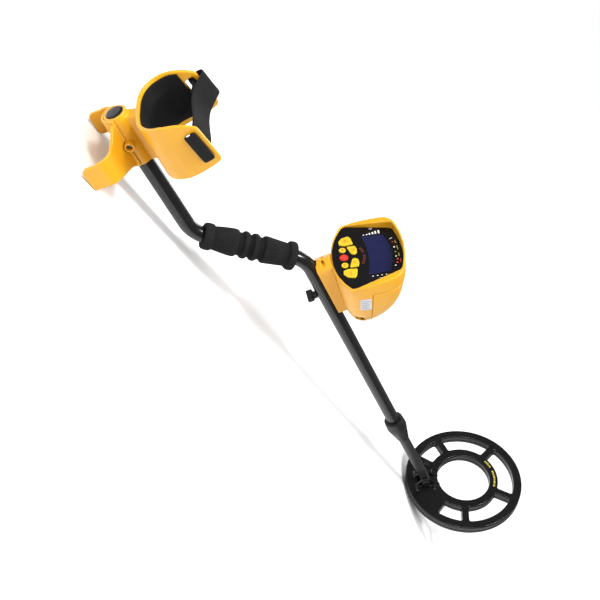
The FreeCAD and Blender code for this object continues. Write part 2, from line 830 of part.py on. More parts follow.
RIM_ANGLE = 84.0
RIM_POINT = Vector(20.5, 0, 48.0)
RIM_LIP = 2.8
LIP_DEPTH = 8.0
LEDGE = 3.0
DECK = 2.0
FAR = 300.0


def behind_rim():
    """Everything on the user's side of the plane that the rim lies in."""
    space = slab(Vector(-FAR, -FAR, -FAR), Vector(0, FAR, FAR))
    space.Placement = Placement(RIM_POINT, Rotation(Y_AXIS, 90 - RIM_ANGLE))
    return space


def door_space(gap):
    """The corner of space ahead of the door's rear edge and above the battery deck."""
    return placed(slab(Vector(gap, -FAR, gap), Vector(FAR, FAR, FAR)), DOOR)


lip = placed(panel_outline(-RIM_LIP, -15, LIP_DEPTH), PANEL)
bucket_outside = bucket(0, 0).fuse(lip)
bucket_inside = bucket(dim("housing_wall"), dim("housing_wall"))
panel_recess = placed(panel_outline(-0.15, -60, dim("panel_thickness")), PANEL)
chamber = bucket_inside.common(
    placed(panel_outline(LEDGE, dim("panel_thickness") - 1, FAR), PANEL).fuse(door_space(-12))
)
chamber = chamber.common(
    placed(slab(Vector(-FAR, -FAR, dim("panel_thickness")), Vector(FAR, FAR, FAR)), PANEL)
)
shell = bucket_outside.cut(behind_rim()).cut(panel_recess).cut(chamber)
deck = bucket_inside.common(placed(slab(Vector(0, -FAR, -DECK), Vector(FAR, FAR, 0)), DOOR))
NOTCH = slab(Vector(92, -60, 35), Vector(108, -41, 47))

JACK_PLACE = Vector(84, 0, 44)
JACK_FRAME = Placement(JACK_PLACE, Rotation(X_AXIS, -90))
JACK_FACE = 63.0
JACK_LENGTH = 26.0
SOCKET_RADIUS = 5.5
SOCKET_FRAME = Placement(Vector(127.6, 0, 41.0), Rotation(Y_AXIS, 90))
PIN_PLACES = [(-2.2, 0), (2.2, 0), (0, 2.2), (0, -2.2)]

jack_room = Part.makeCylinder(6.05, 60, Vector(JACK_PLACE.x, 20, JACK_PLACE.z), Y_AXIS)
socket_room = Part.makeCylinder(SOCKET_RADIUS + 0.05, 60, Vector(90, 0, 41.0), X_AXIS)
SADDLE_SCREWS = [32.0, 92.0]
screw_room = [Part.makeCylinder(1.6, 60, Vector(x, 0, 0), Z_AXIS) for x in SADDLE_SCREWS]
housing = shell.cut(door_space(0)).fuse(deck)
housing = housing.cut(NOTCH).cut(jack_room).cut(socket_room)
for hole in screw_room:
    floor_level = bucket_inside.common(hole).BoundBox.ZMin
    housing = housing.cut(hole.common(slab(Vector(0, -5, 0), Vector(200, 5, 45))))
    head_room = Part.makeCylinder(3.0, 6, Vector(hole.BoundBox.Center.x, 0, floor_level + 1.1))
    housing = housing.cut(head_room)
solid_node("control_housing", housing)

door = shell.common(door_space(dim("door_gap")))
solid_node("battery_door", door)


# ---------------------------------------------------------------- fascia, keys and screen

def mirrored(points):
    """The same outline on the other side of the fascia."""
    return [(-across, up) for across, up in points][::-1]


OUTER_KEY = [(26.5, -4.5), (33.5, -5.0), (40.0, 0.0), (42.5, 9.8), (39.0, 12.8), (25.6, 15.6), (24.0, 2.5)]
INNER_KEY = [(5.6, 10.2), (21.4, 5.0), (21.0, 17.6), (14.4, 19.4), (6.8, 18.8), (3.4, 14.2)]
ROUND_KEY = (15.5, -1.2, 4.9)
POWER_KEY = (0.0, -0.8, 6.2)
SHAPED_KEYS = {
    "key_outer_left": OUTER_KEY,
    "key_outer_right": mirrored(OUTER_KEY),
    "key_inner_left": INNER_KEY,
    "key_inner_right": mirrored(INNER_KEY),
}
ROUND_KEYS = {
    "key_round_left": ROUND_KEY,
    "key_round_right": (-ROUND_KEY[0], ROUND_KEY[1], ROUND_KEY[2]),
    "key_power": POWER_KEY,
}
KEY_CORNER = 1.8
FLANGE_START = 3.1
FLANGE_REACH = 0.6


def shaped_prism(points, grow, low, high):
    """A key outline with round corners, grown sideways, from low to high."""
    face = polygon_face([Vector(across, up, 0) for across, up in points])
    if grow:
        face = Part.Face(face.makeOffset2D(grow, 2))
    solid = face.extrude(Vector(0, 0, high - low))
    solid.translate(Vector(0, 0, low))
    return round_vertical(solid, KEY_CORNER)


def round_prism(key, grow, low, high):
    """The same for a round key."""
    across, up, radius = key
    return Part.makeCylinder(radius + grow, high - low, Vector(across, up, low))


def key_solids():
    """Each key's name with a function of growth, low and high."""
    for name, points in SHAPED_KEYS.items():
        yield name, lambda grow, low, high, points=points: shaped_prism(points, grow, low, high)
    for name, key in ROUND_KEYS.items():
        yield name, lambda grow, low, high, key=key: round_prism(key, grow, low, high)


def softened(shape, height, radius):
    """Round the edges that lie in the plane Z = height."""
    edges = [edge for edge in shape.Edges if abs(edge.BoundBox.ZMin - height) < 1e-4
             and abs(edge.BoundBox.ZMax - height) < 1e-4]
    return shape.makeFillet(radius, edges)


SCREEN = [(39.6, 29.0), (37.8, 60.0), (-37.8, 60.0), (-39.6, 29.0)]
SCREEN_LOW_BOW = 5.0
SCREEN_HIGH_BOW = 7.2


def screen_prism(grow, low, high):
    """The screen window: both long edges bow upwards."""
    corners = [
        Vector(math.copysign(abs(across) + grow, across), up + (grow if up > 45 else -grow), 0)
        for across, up in SCREEN
    ]
    top = Vector(0, SCREEN[1][1] + SCREEN_HIGH_BOW + grow, 0)
    bottom = Vector(0, SCREEN[0][1] + SCREEN_LOW_BOW - grow, 0)
    edges = [
        Part.LineSegment(corners[0], corners[1]).toShape(),
        Part.Arc(corners[1], top, corners[2]).toShape(),
        Part.LineSegment(corners[2], corners[3]).toShape(),
        Part.Arc(corners[3], bottom, corners[0]).toShape(),
    ]
    solid = Part.Face(Part.Wire(edges)).extrude(Vector(0, 0, high - low))
    solid.translate(Vector(0, 0, low))
    return solid


POSTS = [(52.0, 12.0), (-52.0, 12.0), (44.0, 66.0), (-44.0, 66.0)]
BOARD_FRONT = 11.0
BOARD_THICKNESS = 1.6
THICK = dim("panel_thickness")

panel = panel_outline(0, 0, THICK)
for name, solid in key_solids():
    panel = panel.cut(solid(dim("key_gap"), -1, THICK + 1))
panel = panel.cut(screen_prism(0.1, -1, THICK + 1))
for across, up in POSTS:
    post = Part.makeCylinder(3.2, BOARD_FRONT - THICK, Vector(across, up, THICK))
    panel = panel.fuse(post).cut(Part.makeCylinder(1.25, 6, Vector(across, up, BOARD_FRONT - 6)))
solid_node("display_panel", panel, PANEL)

for name, solid in key_solids():
    stem = softened(solid(0, -dim("key_proud"), dim("key_depth")), -dim("key_proud"), 0.7)
    flange = solid(FLANGE_REACH, FLANGE_START, dim("key_depth"))
    solid_node(name, stem.fuse(flange), PANEL)

solid_node("lcd_window", screen_prism(0, 0.3, 2.1), PANEL)
solid_node("lcd_module", slab(Vector(-40.4, 27.5, 3.2), Vector(40.4, 68.0, 8.6)), PANEL)

board = panel_outline(4.0, BOARD_FRONT, BOARD_FRONT + BOARD_THICKNESS)
for across, up in POSTS:
    board = board.cut(Part.makeCylinder(1.6, 4, Vector(across, up, BOARD_FRONT - 1)))
solid_node("main_board", board, PANEL)

SWITCH_CENTRES = [(33.0, 5.0), (-33.0, 5.0), (12.5, 13.0), (-12.5, 13.0)]
SWITCH_CENTRES += [ROUND_KEY[:2], (-ROUND_KEY[0], ROUND_KEY[1]), POWER_KEY[:2]]
SWITCH_START = 5.6
switches = [
    slab(
        Vector(across - 3, max(up - 3, -3.9), SWITCH_START),
        Vector(across + 3, max(up - 3, -3.9) + 6, BOARD_FRONT),
    )
    for across, up in SWITCH_CENTRES
]
solid_node("key_switches", Part.makeCompound(switches), PANEL)

screws = []
for across, up in POSTS:
    head = Part.makeCylinder(2.8, 1.8, Vector(across, up, BOARD_FRONT + BOARD_THICKNESS))
    shank = Part.makeCylinder(1.25, 5.6, Vector(across, up, BOARD_FRONT + BOARD_THICKNESS - 5.6))
    screws.append(head.fuse(shank))
solid_node("board_screws", Part.makeCompound(screws), PANEL)


# ---------------------------------------------------------------- inside the housing

BATTERY_LENGTH = 48.5
BATTERY_WIDTH = 26.5
BATTERY_HEIGHT = 17.5
BATTERY_START = 12.0
for name, side in (("battery_left", 1), ("battery_right", -1)):
    middle = side * 14.25
    cell = slab(
        Vector(BATTERY_START, middle - BATTERY_WIDTH / 2, 0.05),
        Vector(BATTERY_START + BATTERY_LENGTH, middle + BATTERY_WIDTH / 2, BATTERY_HEIGHT + 0.05),
    )
    edges = [edge for edge in cell.Edges if abs(abs(edge.tangentAt(0).x) - 1) < 1e-6]
    solid_node(name, cell.makeFillet(2.0, edges), DOOR)

clips = [
    slab(
        Vector(BATTERY_START - 3, side * 14.25 - 11, 0.05),
        Vector(BATTERY_START - 0.05, side * 14.25 + 11, 15),
    )
    for side in (1, -1)
]
solid_node("battery_clips", Part.makeCompound(clips), DOOR)

speaker = Part.makeCylinder(18, 4, Vector(30, 0, -DECK - 4.05))
speaker = speaker.fuse(Part.makeCylinder(9, 6, Vector(30, 0, -DECK - 10)))
solid_node("speaker", speaker, DOOR)

jack = Part.makeCylinder(6, JACK_LENGTH, Vector(0, 0, JACK_FACE - JACK_LENGTH))
jack = jack.fuse(Part.makeCylinder(8, 2.4, Vector(0, 0, JACK_FACE - 2.4)))
jack = jack.cut(Part.makeCylinder(3.2, JACK_LENGTH - 2, Vector(0, 0, JACK_FACE - JACK_LENGTH + 2)))
solid_node("headphone_jack", jack, JACK_FRAME)

socket = Part.makeCylinder(SOCKET_RADIUS, 20, Vector(0, 0, -20))
socket = socket.fuse(Part.makeCylinder(SOCKET_RADIUS + 0.7, 2.5))
socket = socket.cut(Part.makeCylinder(SOCKET_RADIUS - 1.3, 9, Vector(0, 0, -6.5)))
for across, up in PIN_PLACES:
    socket = socket.fuse(Part.makeCylinder(0.6, 7, Vector(across, up, -7)))
solid_node("coil_socket", socket, SOCKET_FRAME)


# ---------------------------------------------------------------- saddle and clamp

def saddle():
    """The block between the rod and the housing, with a pointed rear end."""
    half = dim("saddle_width") / 2
    low = dim("saddle_low")
    plan = [
        Vector(dim("saddle_nose"), 0, low),
        Vector(dim("saddle_rear"), -half, low),
        Vector(dim("saddle_front"), -half, low),
        Vector(dim("saddle_front"), half, low),
        Vector(dim("saddle_rear"), half, low),
    ]
    block_shape = prism(plan, Vector(0, 0, 34 - low))
    block_shape = round_vertical(block_shape, 1.5)
    nose = prism(
        [Vector(-10, -40, 31.5), Vector(60, -40, 40), Vector(60, -40, 60), Vector(-10, -40, 60)],
        Vector(0, 80, 0),
    )
    rod = Part.makeCylinder(dim("rod_diameter") / 2 + 0.02, 200, Vector(-40, 0, 0), X_AXIS)
    cord_hole = Part.makeCylinder(2.5, 60, Vector(12.6, -30, 19.8), Y_AXIS)
    body = block_shape.cut(bucket_outside).cut(rod).cut(nose).cut(cord_hole)
    body = body.cut(clamp_hole(BOLT_HOLE)).cut(hexagon(5.1, 15.0, 23.0))
    for x in SADDLE_SCREWS:
        body = body.cut(Part.makeCylinder(1.3, 24, Vector(x, 0, 12.5)))
    return body


def hexagon(half_flat, low, high, centre=Vector()):
    """A hexagonal bar along Z under the clamp, by half its width across flats."""
    corner = half_flat / math.cos(math.pi / 6)
    points = [
        Vector(
            dim("clamp_x") + corner * math.cos(math.pi / 3 * step),
            corner * math.sin(math.pi / 3 * step),
            low,
        )
        for step in range(6)
    ]
    return prism(points, Vector(0, 0, high - low))


solid_node("mounting_saddle", saddle())

nut = hexagon(5.0, 15.5, 20.5).cut(clamp_hole(dim("clamp_bolt") / 2 + dim("running_gap")))
solid_node("clamp_nut", nut)

saddle_bolts = []
for x in SADDLE_SCREWS:
    floor = bucket_inside.common(Part.makeCylinder(1.6, 60, Vector(x, 0, 0))).BoundBox.ZMin
    shank = Part.makeCylinder(1.3, floor + 1.9 - 14, Vector(x, 0, 14))
    head = Part.makeCylinder(2.9, 1.8, Vector(x, 0, floor + 1.2))
    saddle_bolts.append(shank.fuse(head))
solid_node("saddle_screws", Part.makeCompound(saddle_bolts))

HUB = 5.75
LOBE = 4.6
LOBE_REACH = 5.6
HUB_START = dim("rod_diameter") / 2 + 0.3
KNOB_END = HUB_START + dim("knob_length")
LOBE_START = KNOB_END - 9.0


def clamp_knob():
    """A hub with three round lobes."""
    knob = Part.makeCylinder(7.0, KNOB_END - LOBE_START, Vector(0, 0, LOBE_START))
    for step in range(3):
        angle = math.radians(90 + 120 * step)
        place = Vector(LOBE_REACH * math.cos(angle), LOBE_REACH * math.sin(angle), LOBE_START)
        knob = knob.fuse(Part.makeCylinder(LOBE, KNOB_END - LOBE_START, place))
    knob = knob.removeSplitter()
    ends = [edge for edge in knob.Edges if abs(edge.BoundBox.ZMax - edge.BoundBox.ZMin) < 1e-3]
    knob = knob.makeFillet(1.2, ends)
    hub = Part.makeCylinder(HUB, LOBE_START - HUB_START + 1, Vector(0, 0, HUB_START))
    bolt_room = Part.makeCylinder(dim("clamp_bolt") / 2, 8, Vector(0, 0, HUB_START))
    return knob.fuse(hub).cut(bolt_room)


solid_node("clamp_knob", clamp_knob(), CLAMP)
clamp_bolt = cylinder(
    "clamp_bolt", "dims.clamp_bolt / 2", "42", Vector(0, 0, HUB_START + 8 - 42), Z_AXIS
)
finish_node(clamp_bolt, "clamp_bolt", CLAMP.multiply(clamp_bolt.Placement))


# ---------------------------------------------------------------- coil

RIM = dim("coil_diameter") / 2
HOLE = dim("coil_hole") / 2
INNER = dim("inner_ring") / 2
OUTER = dim("outer_ring") / 2
THICKNESS = dim("coil_thickness")


def coil_plan(inset, low, high):
    """The coil's open pattern: two rings, four spokes and a filled heel, drawn in by inset."""
    height = high - low

    def ring(outer, inner):
        return tube(outer - inset, inner + inset, height, Vector(0, 0, low))

    plan = ring(RIM, OUTER).fuse(ring(INNER, HOLE))
    annulus = ring(RIM - 2, HOLE + 2)
    if inset:
        annulus = ring(RIM, HOLE)
    half = dim("spoke_width") / 2 - inset
    for angle in (dim("front_spoke"), dim("rear_spoke")):
        for side in (1, -1):
            spoke = slab(Vector(0, -half, low), Vector(RIM + 5, half, high))
            spoke.rotate(Vector(), Z_AXIS, side * angle)
            plan = plan.fuse(spoke.common(annulus))
    edge = math.radians(dim("sector_edge"))
    reach = RIM * 1.6
    shift = inset / math.sin(math.pi - edge)
    heel = prism(
        [
            Vector(-shift, 0, low),
            Vector(reach * math.cos(edge) - shift, reach * math.sin(edge), low),
            Vector(-2 * reach, 0, low),
            Vector(reach * math.cos(edge) - shift, -reach * math.sin(edge), low),
        ],
        Vector(0, 0, height),
    )
    plan = plan.fuse(heel.common(annulus)).removeSplitter()
    plan.rotate(Vector(), Z_AXIS, dim("window_twist"))
    return plan


def window_corner(edge_middle):
    """Whether an upright edge is the corner of a window."""
    radius = math.hypot(edge_middle.x, edge_middle.y)
    return INNER - 1 < radius < OUTER + 1


def coil_half(low, high, cavity_low, cavity_high, soft_face):
    """One shell of the coil, with a soft outer edge and a hollow for the windings."""
    body = round_vertical(coil_plan(0, low, high), 3.0, window_corner)
    rims = [
        edge
        for edge in body.Edges
        if abs(edge.BoundBox.ZMin - soft_face) < 1e-4 and abs(edge.BoundBox.ZMax - soft_face) < 1e-4
    ]
    body = body.makeFillet(1.4, rims)
    return body.cut(coil_plan(dim("coil_wall"), cavity_low, cavity_high))


PIVOT_X = dim("pivot_offset")
PIVOT_Z = dim("pivot_height")
EAR_ROUND = 10.0


def ear(side):
    """One hinge ear: round over the bolt, with a long foot ahead of it and a short one behind."""
    inner = dim("ear_gap") / 2
    top = Part.makeCylinder(EAR_ROUND, dim("ear_thickness"), Vector(PIVOT_X, inner, PIVOT_Z), Y_AXIS)
    plate = prism(
        [
            Vector(PIVOT_X - 20, inner, -1),
            Vector(PIVOT_X - 8.4, inner, PIVOT_Z + 5.4),
            Vector(PIVOT_X, inner, PIVOT_Z),
            Vector(PIVOT_X + 6.0, inner, PIVOT_Z + 8.0),
            Vector(PIVOT_X + 28, inner, -1),
        ],
        Vector(0, dim("ear_thickness"), 0),
    )
    shape = top.fuse(plate).common(slab(Vector(-FAR, 0, -1), Vector(FAR, FAR, FAR)))
    if side < 0:
        shape = shape.mirror(Vector(), Y_AXIS)
    return shape


GUSSET_PLACES = [-17.0, 16.0]


def gusset(side, place):
    """A low web that props an ear from outside, fore or aft of the bolt."""
    inner = dim("ear_gap") / 2 + dim("ear_thickness") - 0.5
    near = PIVOT_X + place - 1.5
    shape = prism(
        [Vector(near, inner, -1), Vector(near, inner, 6), Vector(near, inner + 13, -1)],
        Vector(3, 0, 0),
    )
    if side < 0:
        shape = shape.mirror(Vector(), Y_AXIS)
    return shape


pivot_hole = Part.makeCylinder(
    dim("pivot_bolt") / 2 + dim("running_gap"), 60, Vector(PIVOT_X, -30, PIVOT_Z), Y_AXIS
)
GLAND_PLACE = Vector(-66, 30, 0)
cover = coil_half(
    -dim("cover_height"), 0, -dim("cover_height") - 1, -dim("coil_wall"), 0.0
)
for side in (1, -1):
    cover = cover.fuse(ear(side))
    for place in GUSSET_PLACES:
        cover = cover.fuse(gusset(side, place))
cover = cover.cut(pivot_hole)
cover = cover.cut(Part.makeCylinder(3.0, 12, GLAND_PLACE - Z_AXIS * 6))
solid_node("coil_cover", cover, COIL)

base = coil_half(
    -THICKNESS,
    -dim("cover_height"),
    -THICKNESS + dim("coil_wall"),
    -dim("cover_height") + 1,
    -THICKNESS,
)
solid_node("coil_base", base, COIL)

WINDING_LEVEL = -dim("cover_height") + 1
for name, radius in (
    ("transmit_winding", "(dims.coil_diameter + dims.outer_ring) / 4"),
    ("receive_winding", "(dims.inner_ring + dims.coil_hole) / 4"),
):
    winding = doc.addObject("Part::Torus", name)
    bind(winding, Radius1=radius, Radius2="dims.winding_diameter / 2")
    finish_node(winding, name, COIL.multiply(Placement(Vector(0, 0, WINDING_LEVEL), Rotation())))

turned(
    "coil_gland",
    [
        ("1.6", "-4"),
        ("2.95", "-4"),
        ("2.95", "0.05"),
        ("5.4", "0.05"),
        ("5.4", "4"),
        ("3.4", "10"),
        ("1.6", "10"),
    ],
    COIL.multiply(Placement(GLAND_PLACE, Rotation())),
)

# ---------------------------------------------------------------- coil hinge

EAR_FACE = dim("ear_gap") / 2 + dim("ear_thickness")
BOLT_RADIUS = dim("pivot_bolt") / 2
hinge_bolt = Part.makeCylinder(BOLT_RADIUS, 2 * EAR_FACE + 14, Vector(0, 0, -EAR_FACE))
hinge_bolt = hinge_bolt.fuse(
    softened(Part.makeCylinder(7.5, 4.5, Vector(0, 0, -EAR_FACE - 4.5)), -EAR_FACE - 4.5, 1.2)
)
solid_node("hinge_bolt", hinge_bolt, PIVOT)

washer_gap = (dim("ear_gap") - dim("tongue_width")) / 2
washers = [
    tube(8.0, BOLT_RADIUS + dim("running_gap"), washer_gap - 0.1, Vector(0, 0, base_height))
    for base_height in (dim("tongue_width") / 2 + 0.05, -dim("ear_gap") / 2 + 0.05)
]
solid_node("hinge_washers", Part.makeCompound(washers), PIVOT)

WING_REACH = 8.6
hinge_nut = Part.makeCylinder(6.5, 7, Vector(0, 0, EAR_FACE + 0.3))
wings = slab(Vector(-WING_REACH, -2, EAR_FACE + 2.3), Vector(WING_REACH, 2, EAR_FACE + 10.3))
wings = round_across(wings, 3.0)
hinge_nut = hinge_nut.fuse(wings).cut(
    Part.makeCylinder(BOLT_RADIUS + dim("running_gap"), 40, Vector(0, 0, 0))
)
solid_node("hinge_nut", hinge_nut, PIVOT)

# ---------------------------------------------------------------- checks and export

doc.recompute()
for obj in doc.Objects:
    if "Invalid" in obj.State or "Error" in obj.State:
        raise RuntimeError(f"{obj.Label} failed: {obj.State}")
for label, obj in nodes.items():
    if obj.Shape.isNull() or not obj.Shape.isValid() or not obj.Shape.Solids:
        raise RuntimeError(f"{label} has no valid solid")

os.makedirs("parts", exist_ok=True)
box = FreeCAD.BoundBox()
for label, obj in nodes.items():
    obj.Shape.exportStep(f"parts/{label}.step")
    box.add(obj.Shape.optimalBoundingBox(True, False))
print(f"{len(nodes)} sub-parts, box {box}")
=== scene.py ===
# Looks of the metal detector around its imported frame: moulded yellow plastic with rounded edges,
# foam grip and cuff liner, webbing strap, printed fascia, blank label, and the studio.
#
# Pieces are drawn in the same local frames as the design, in millimetres, and placed by one
# matrix each. The shaft frame has +X down the straight tube, +Y to the user's left, +Z up.

import json
import math

import bmesh
import bpy
from mathutils import Matrix, Vector
from mathutils.bvhtree import BVHTree


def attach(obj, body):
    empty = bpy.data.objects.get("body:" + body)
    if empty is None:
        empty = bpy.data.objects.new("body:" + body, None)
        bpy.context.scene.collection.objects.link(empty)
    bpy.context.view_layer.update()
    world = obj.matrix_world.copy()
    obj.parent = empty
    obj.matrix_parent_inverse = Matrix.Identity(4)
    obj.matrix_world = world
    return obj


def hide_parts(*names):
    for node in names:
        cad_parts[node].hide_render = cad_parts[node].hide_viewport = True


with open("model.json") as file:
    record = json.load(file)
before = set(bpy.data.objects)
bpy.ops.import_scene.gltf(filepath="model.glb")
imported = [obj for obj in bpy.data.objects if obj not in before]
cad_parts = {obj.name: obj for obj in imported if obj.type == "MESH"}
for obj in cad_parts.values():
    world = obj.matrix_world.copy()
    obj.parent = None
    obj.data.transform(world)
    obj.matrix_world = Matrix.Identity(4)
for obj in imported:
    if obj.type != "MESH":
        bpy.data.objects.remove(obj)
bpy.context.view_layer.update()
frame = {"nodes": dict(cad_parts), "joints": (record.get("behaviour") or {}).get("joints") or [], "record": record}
nodes = frame["nodes"]

# ---------------------------------------------------------------- frames and sizes (mm)

MM = 0.001
PIVOT_REACH = 618.0
# Tilt from the shaft of the coil's plane and of the fascia, in degrees.
COIL_TILT = 68.2
PANEL_TILT = 75.0
PANEL_ORIGIN = Vector((22, 0, 50))
COIL_TOP = Vector((654, 0, 65.55))
GRIP_ANGLE = math.atan2(121.0, 113.7)
SLOT_CENTRE = Vector((-279.0, 0.0, -32.5))
TIP_SLOPE = math.atan2(9.0, 53.0)

joints = {joint["name"]: joint for joint in frame["joints"]}


def axes(x_axis, z_axis, origin):
    """A local frame as a 4x4 matrix, from its X and Z directions and its origin."""
    y_axis = z_axis.cross(x_axis)
    turn = Matrix((x_axis, y_axis, z_axis)).transposed().to_4x4()
    return Matrix.Translation(origin) @ turn


LEFT = Vector((0, 1, 0))
SHAFT_AXIS = Vector(joints["stem_slide"]["axis"]).normalized()
SHAFT_ORIGIN = Vector(joints["coil_pivot"]["pos_m"]) - SHAFT_AXIS * PIVOT_REACH * MM
SHAFT = axes(SHAFT_AXIS, SHAFT_AXIS.cross(LEFT), SHAFT_ORIGIN) @ Matrix.Scale(MM, 4)


def tilted(degrees):
    """Unit vector in the shaft's upright plane, tilted up from +X."""
    return Vector((math.cos(math.radians(degrees)), 0, math.sin(math.radians(degrees))))


# PANEL: +Y up the fascia and +Z into the housing. COIL: +Z square to the coil's flat faces.
# GRIP: +Z along the grip, away from the bend. STRAP: the shaft frame, tilted as the cuff's tips.
PANEL = SHAFT @ axes(LEFT, tilted(PANEL_TILT - 90), PANEL_ORIGIN)
COIL = SHAFT @ axes(tilted(COIL_TILT), tilted(COIL_TILT + 90), COIL_TOP)
GRIP = SHAFT @ axes(LEFT, -tilted(math.degrees(GRIP_ANGLE)), Vector())
STRAP = (
    SHAFT
    @ Matrix.Translation(SLOT_CENTRE)
    @ Matrix.Rotation(-TIP_SLOPE, 4, "Y")
    @ Matrix.Translation(-SLOT_CENTRE)
)

# ---------------------------------------------------------------- materials


class Surface:
    """A procedural material: one Principled shader, and nodes in object space, in metres."""

    def __init__(self, name, colour, roughness, **constants):
        self.material = bpy.data.materials.new(name)
        self.material.use_nodes = True
        self.tree = self.material.node_tree
        self.shader = self.tree.nodes["Principled BSDF"]
        self.shader.inputs["Base Color"].default_value = (*colour, 1)
        self.shader.inputs["Roughness"].default_value = roughness
        for key, value in constants.items():
            self.shader.inputs[key.replace("_", " ")].default_value = value
        self.place = self.tree.nodes.new("ShaderNodeTexCoord").outputs["Object"]
        self.height = None

    def node(self, kind, **settings):
        made = self.tree.nodes.new(kind)
        for key, value in settings.items():
            setattr(made, key, value)
        return made

    def link(self, source, target):
        self.tree.links.new(source, target)

    def noise(self, scale, detail=3.0):
        """Noise with features of about 1 / scale metres."""
        made = self.node("ShaderNodeTexNoise")
        made.inputs["Scale"].default_value = scale
        made.inputs["Detail"].default_value = detail
        self.link(self.place, made.inputs["Vector"])
        return made.outputs["Fac"]

    def spread(self, source, low, high):
        """A texture value brought between low and high."""
        made = self.node("ShaderNodeMapRange")
        made.inputs["From Min"].default_value = 0.3
        made.inputs["From Max"].default_value = 0.7
        made.inputs["To Min"].default_value = low
        made.inputs["To Max"].default_value = high
        self.link(source, made.inputs["Value"])
        return made.outputs["Result"]

    def blend(self, factor, other):
        """Mix the base colour so far with another, by a factor from 0 to 1."""
        base = self.shader.inputs["Base Color"]
        mix = self.node("ShaderNodeMix", data_type="RGBA")
        mix.inputs["A"].default_value = base.default_value
        mix.inputs["B"].default_value = (*other, 1)
        if base.is_linked:
            self.link(base.links[0].from_socket, mix.inputs["A"])
        self.link(factor, mix.inputs["Factor"])
        self.link(mix.outputs["Result"], base)

    def vary_colour(self, source, other, most):
        """Blend towards another colour, by up to most where the texture is high."""
        self.blend(self.spread(source, 0.0, most), other)

    def vary_roughness(self, source, low, high):
        self.link(self.spread(source, low, high), self.shader.inputs["Roughness"])

    def bump(self, source, depth, strength=1.0):
        """Relief of the given depth in metres, on top of any already there."""
        made = self.node("ShaderNodeBump")
        made.inputs["Distance"].default_value = depth
        made.inputs["Strength"].default_value = strength
        self.link(source, made.inputs["Height"])
        if self.height is not None:
            self.link(self.height, made.inputs["Normal"])
        self.height = made.outputs["Normal"]
        self.link(self.height, self.shader.inputs["Normal"])

    def painted_shade_in_hollows(self, reach, most):
        """Painted shade: darker in grooves and corners narrower than the reach, in metres."""
        occlusion = self.node("ShaderNodeAmbientOcclusion", samples=6)
        occlusion.inputs["Distance"].default_value = reach
        inverse = self.node("ShaderNodeMath", operation="SUBTRACT")
        inverse.inputs[0].default_value = 1.0
        self.link(occlusion.outputs["AO"], inverse.inputs[1])
        scaled = self.node("ShaderNodeMath", operation="MULTIPLY", use_clamp=True)
        scaled.inputs[1].default_value = most
        self.link(inverse.outputs["Value"], scaled.inputs[0])
        self.blend(scaled.outputs["Value"], (0, 0, 0))

    def edge_wear_and_highlight(self, other, most):
        """Paler colour where the surface is sharply convex; on the coil shell, where it is strongest, a painted
        highlight along the rounded edges.
        """
        point = self.node("ShaderNodeNewGeometry").outputs["Pointiness"]
        made = self.node("ShaderNodeMapRange")
        made.inputs["From Min"].default_value = 0.52
        made.inputs["From Max"].default_value = 0.62
        made.inputs["To Max"].default_value = most
        self.link(point, made.inputs["Value"])
        self.blend(made.outputs["Result"], other)


def moulded(name, colour, roughness, grain=0.00004, scale=900.0, other=None, **constants):
    """Injection-moulded plastic: fine spark grain, uneven gloss and a little flow colour."""
    made = Surface(name, colour, roughness, **constants)
    pale = other or tuple(min(1.0, channel * 1.18 + 0.004) for channel in colour)
    made.vary_colour(made.noise(14.0, 4.0), pale, 0.35)
    made.vary_colour(made.noise(700.0, 2.0), tuple(c * 0.8 for c in colour), 0.16)
    made.vary_roughness(made.noise(60.0, 5.0), roughness - 0.05, roughness + 0.07)
    made.bump(made.noise(scale, 2.0), grain)
    made.bump(made.noise(24.0, 2.0), 0.0004, 0.25)
    return made


def yellow_plastic():
    made = moulded(
        "yellow_moulded", (0.61, 0.290, 0.008), 0.36, 0.00002, 1500.0, (0.66, 0.33, 0.015),
        Specular_IOR_Level=0.38, Coat_Weight=0.12, Coat_Roughness=0.15,
    )
    made.edge_wear_and_highlight((0.80, 0.48, 0.12), 0.35)
    return made.material


def gloss_tube():
    made = moulded(
        "powder_coated_tube", (0.004, 0.004, 0.005), 0.22, 0.00003, 1900.0,
        Specular_IOR_Level=0.35, Coat_Weight=0.12, Coat_Roughness=0.12,
    )
    made.vary_roughness(made.noise(45.0, 6.0), 0.17, 0.30)
    return made.material


def black_plastic(name, level, roughness, edge=5.0):
    """Black moulding; its sharply convex edges are paler than the rest by the factor edge."""
    made = moulded(name, (level, level, level * 1.06), roughness, Specular_IOR_Level=0.32)
    made.edge_wear_and_highlight((level * edge, level * edge, level * edge), 0.3)
    return made.material


def foam():
    """Closed-cell foam: fine pores, darker pits and painted shade in the grooves."""
    made = Surface("cell_foam", (0.011, 0.011, 0.012), 0.9, Specular_IOR_Level=0.12)
    cells = made.node("ShaderNodeTexVoronoi", feature="F1")
    cells.inputs["Scale"].default_value = 620.0
    made.link(made.place, cells.inputs["Vector"])
    made.vary_colour(cells.outputs["Distance"], (0.018, 0.018, 0.019), 0.7)
    made.vary_colour(made.noise(35.0), (0.004, 0.004, 0.004), 0.5)
    made.bump(cells.outputs["Distance"], 0.00022)
    made.bump(made.noise(110.0), 0.0005, 0.4)
    # Painted shade: colour darkened in the grooves, where ambient occlusion finds them.
    made.painted_shade_in_hollows(0.012, 3.0)
    return made.material


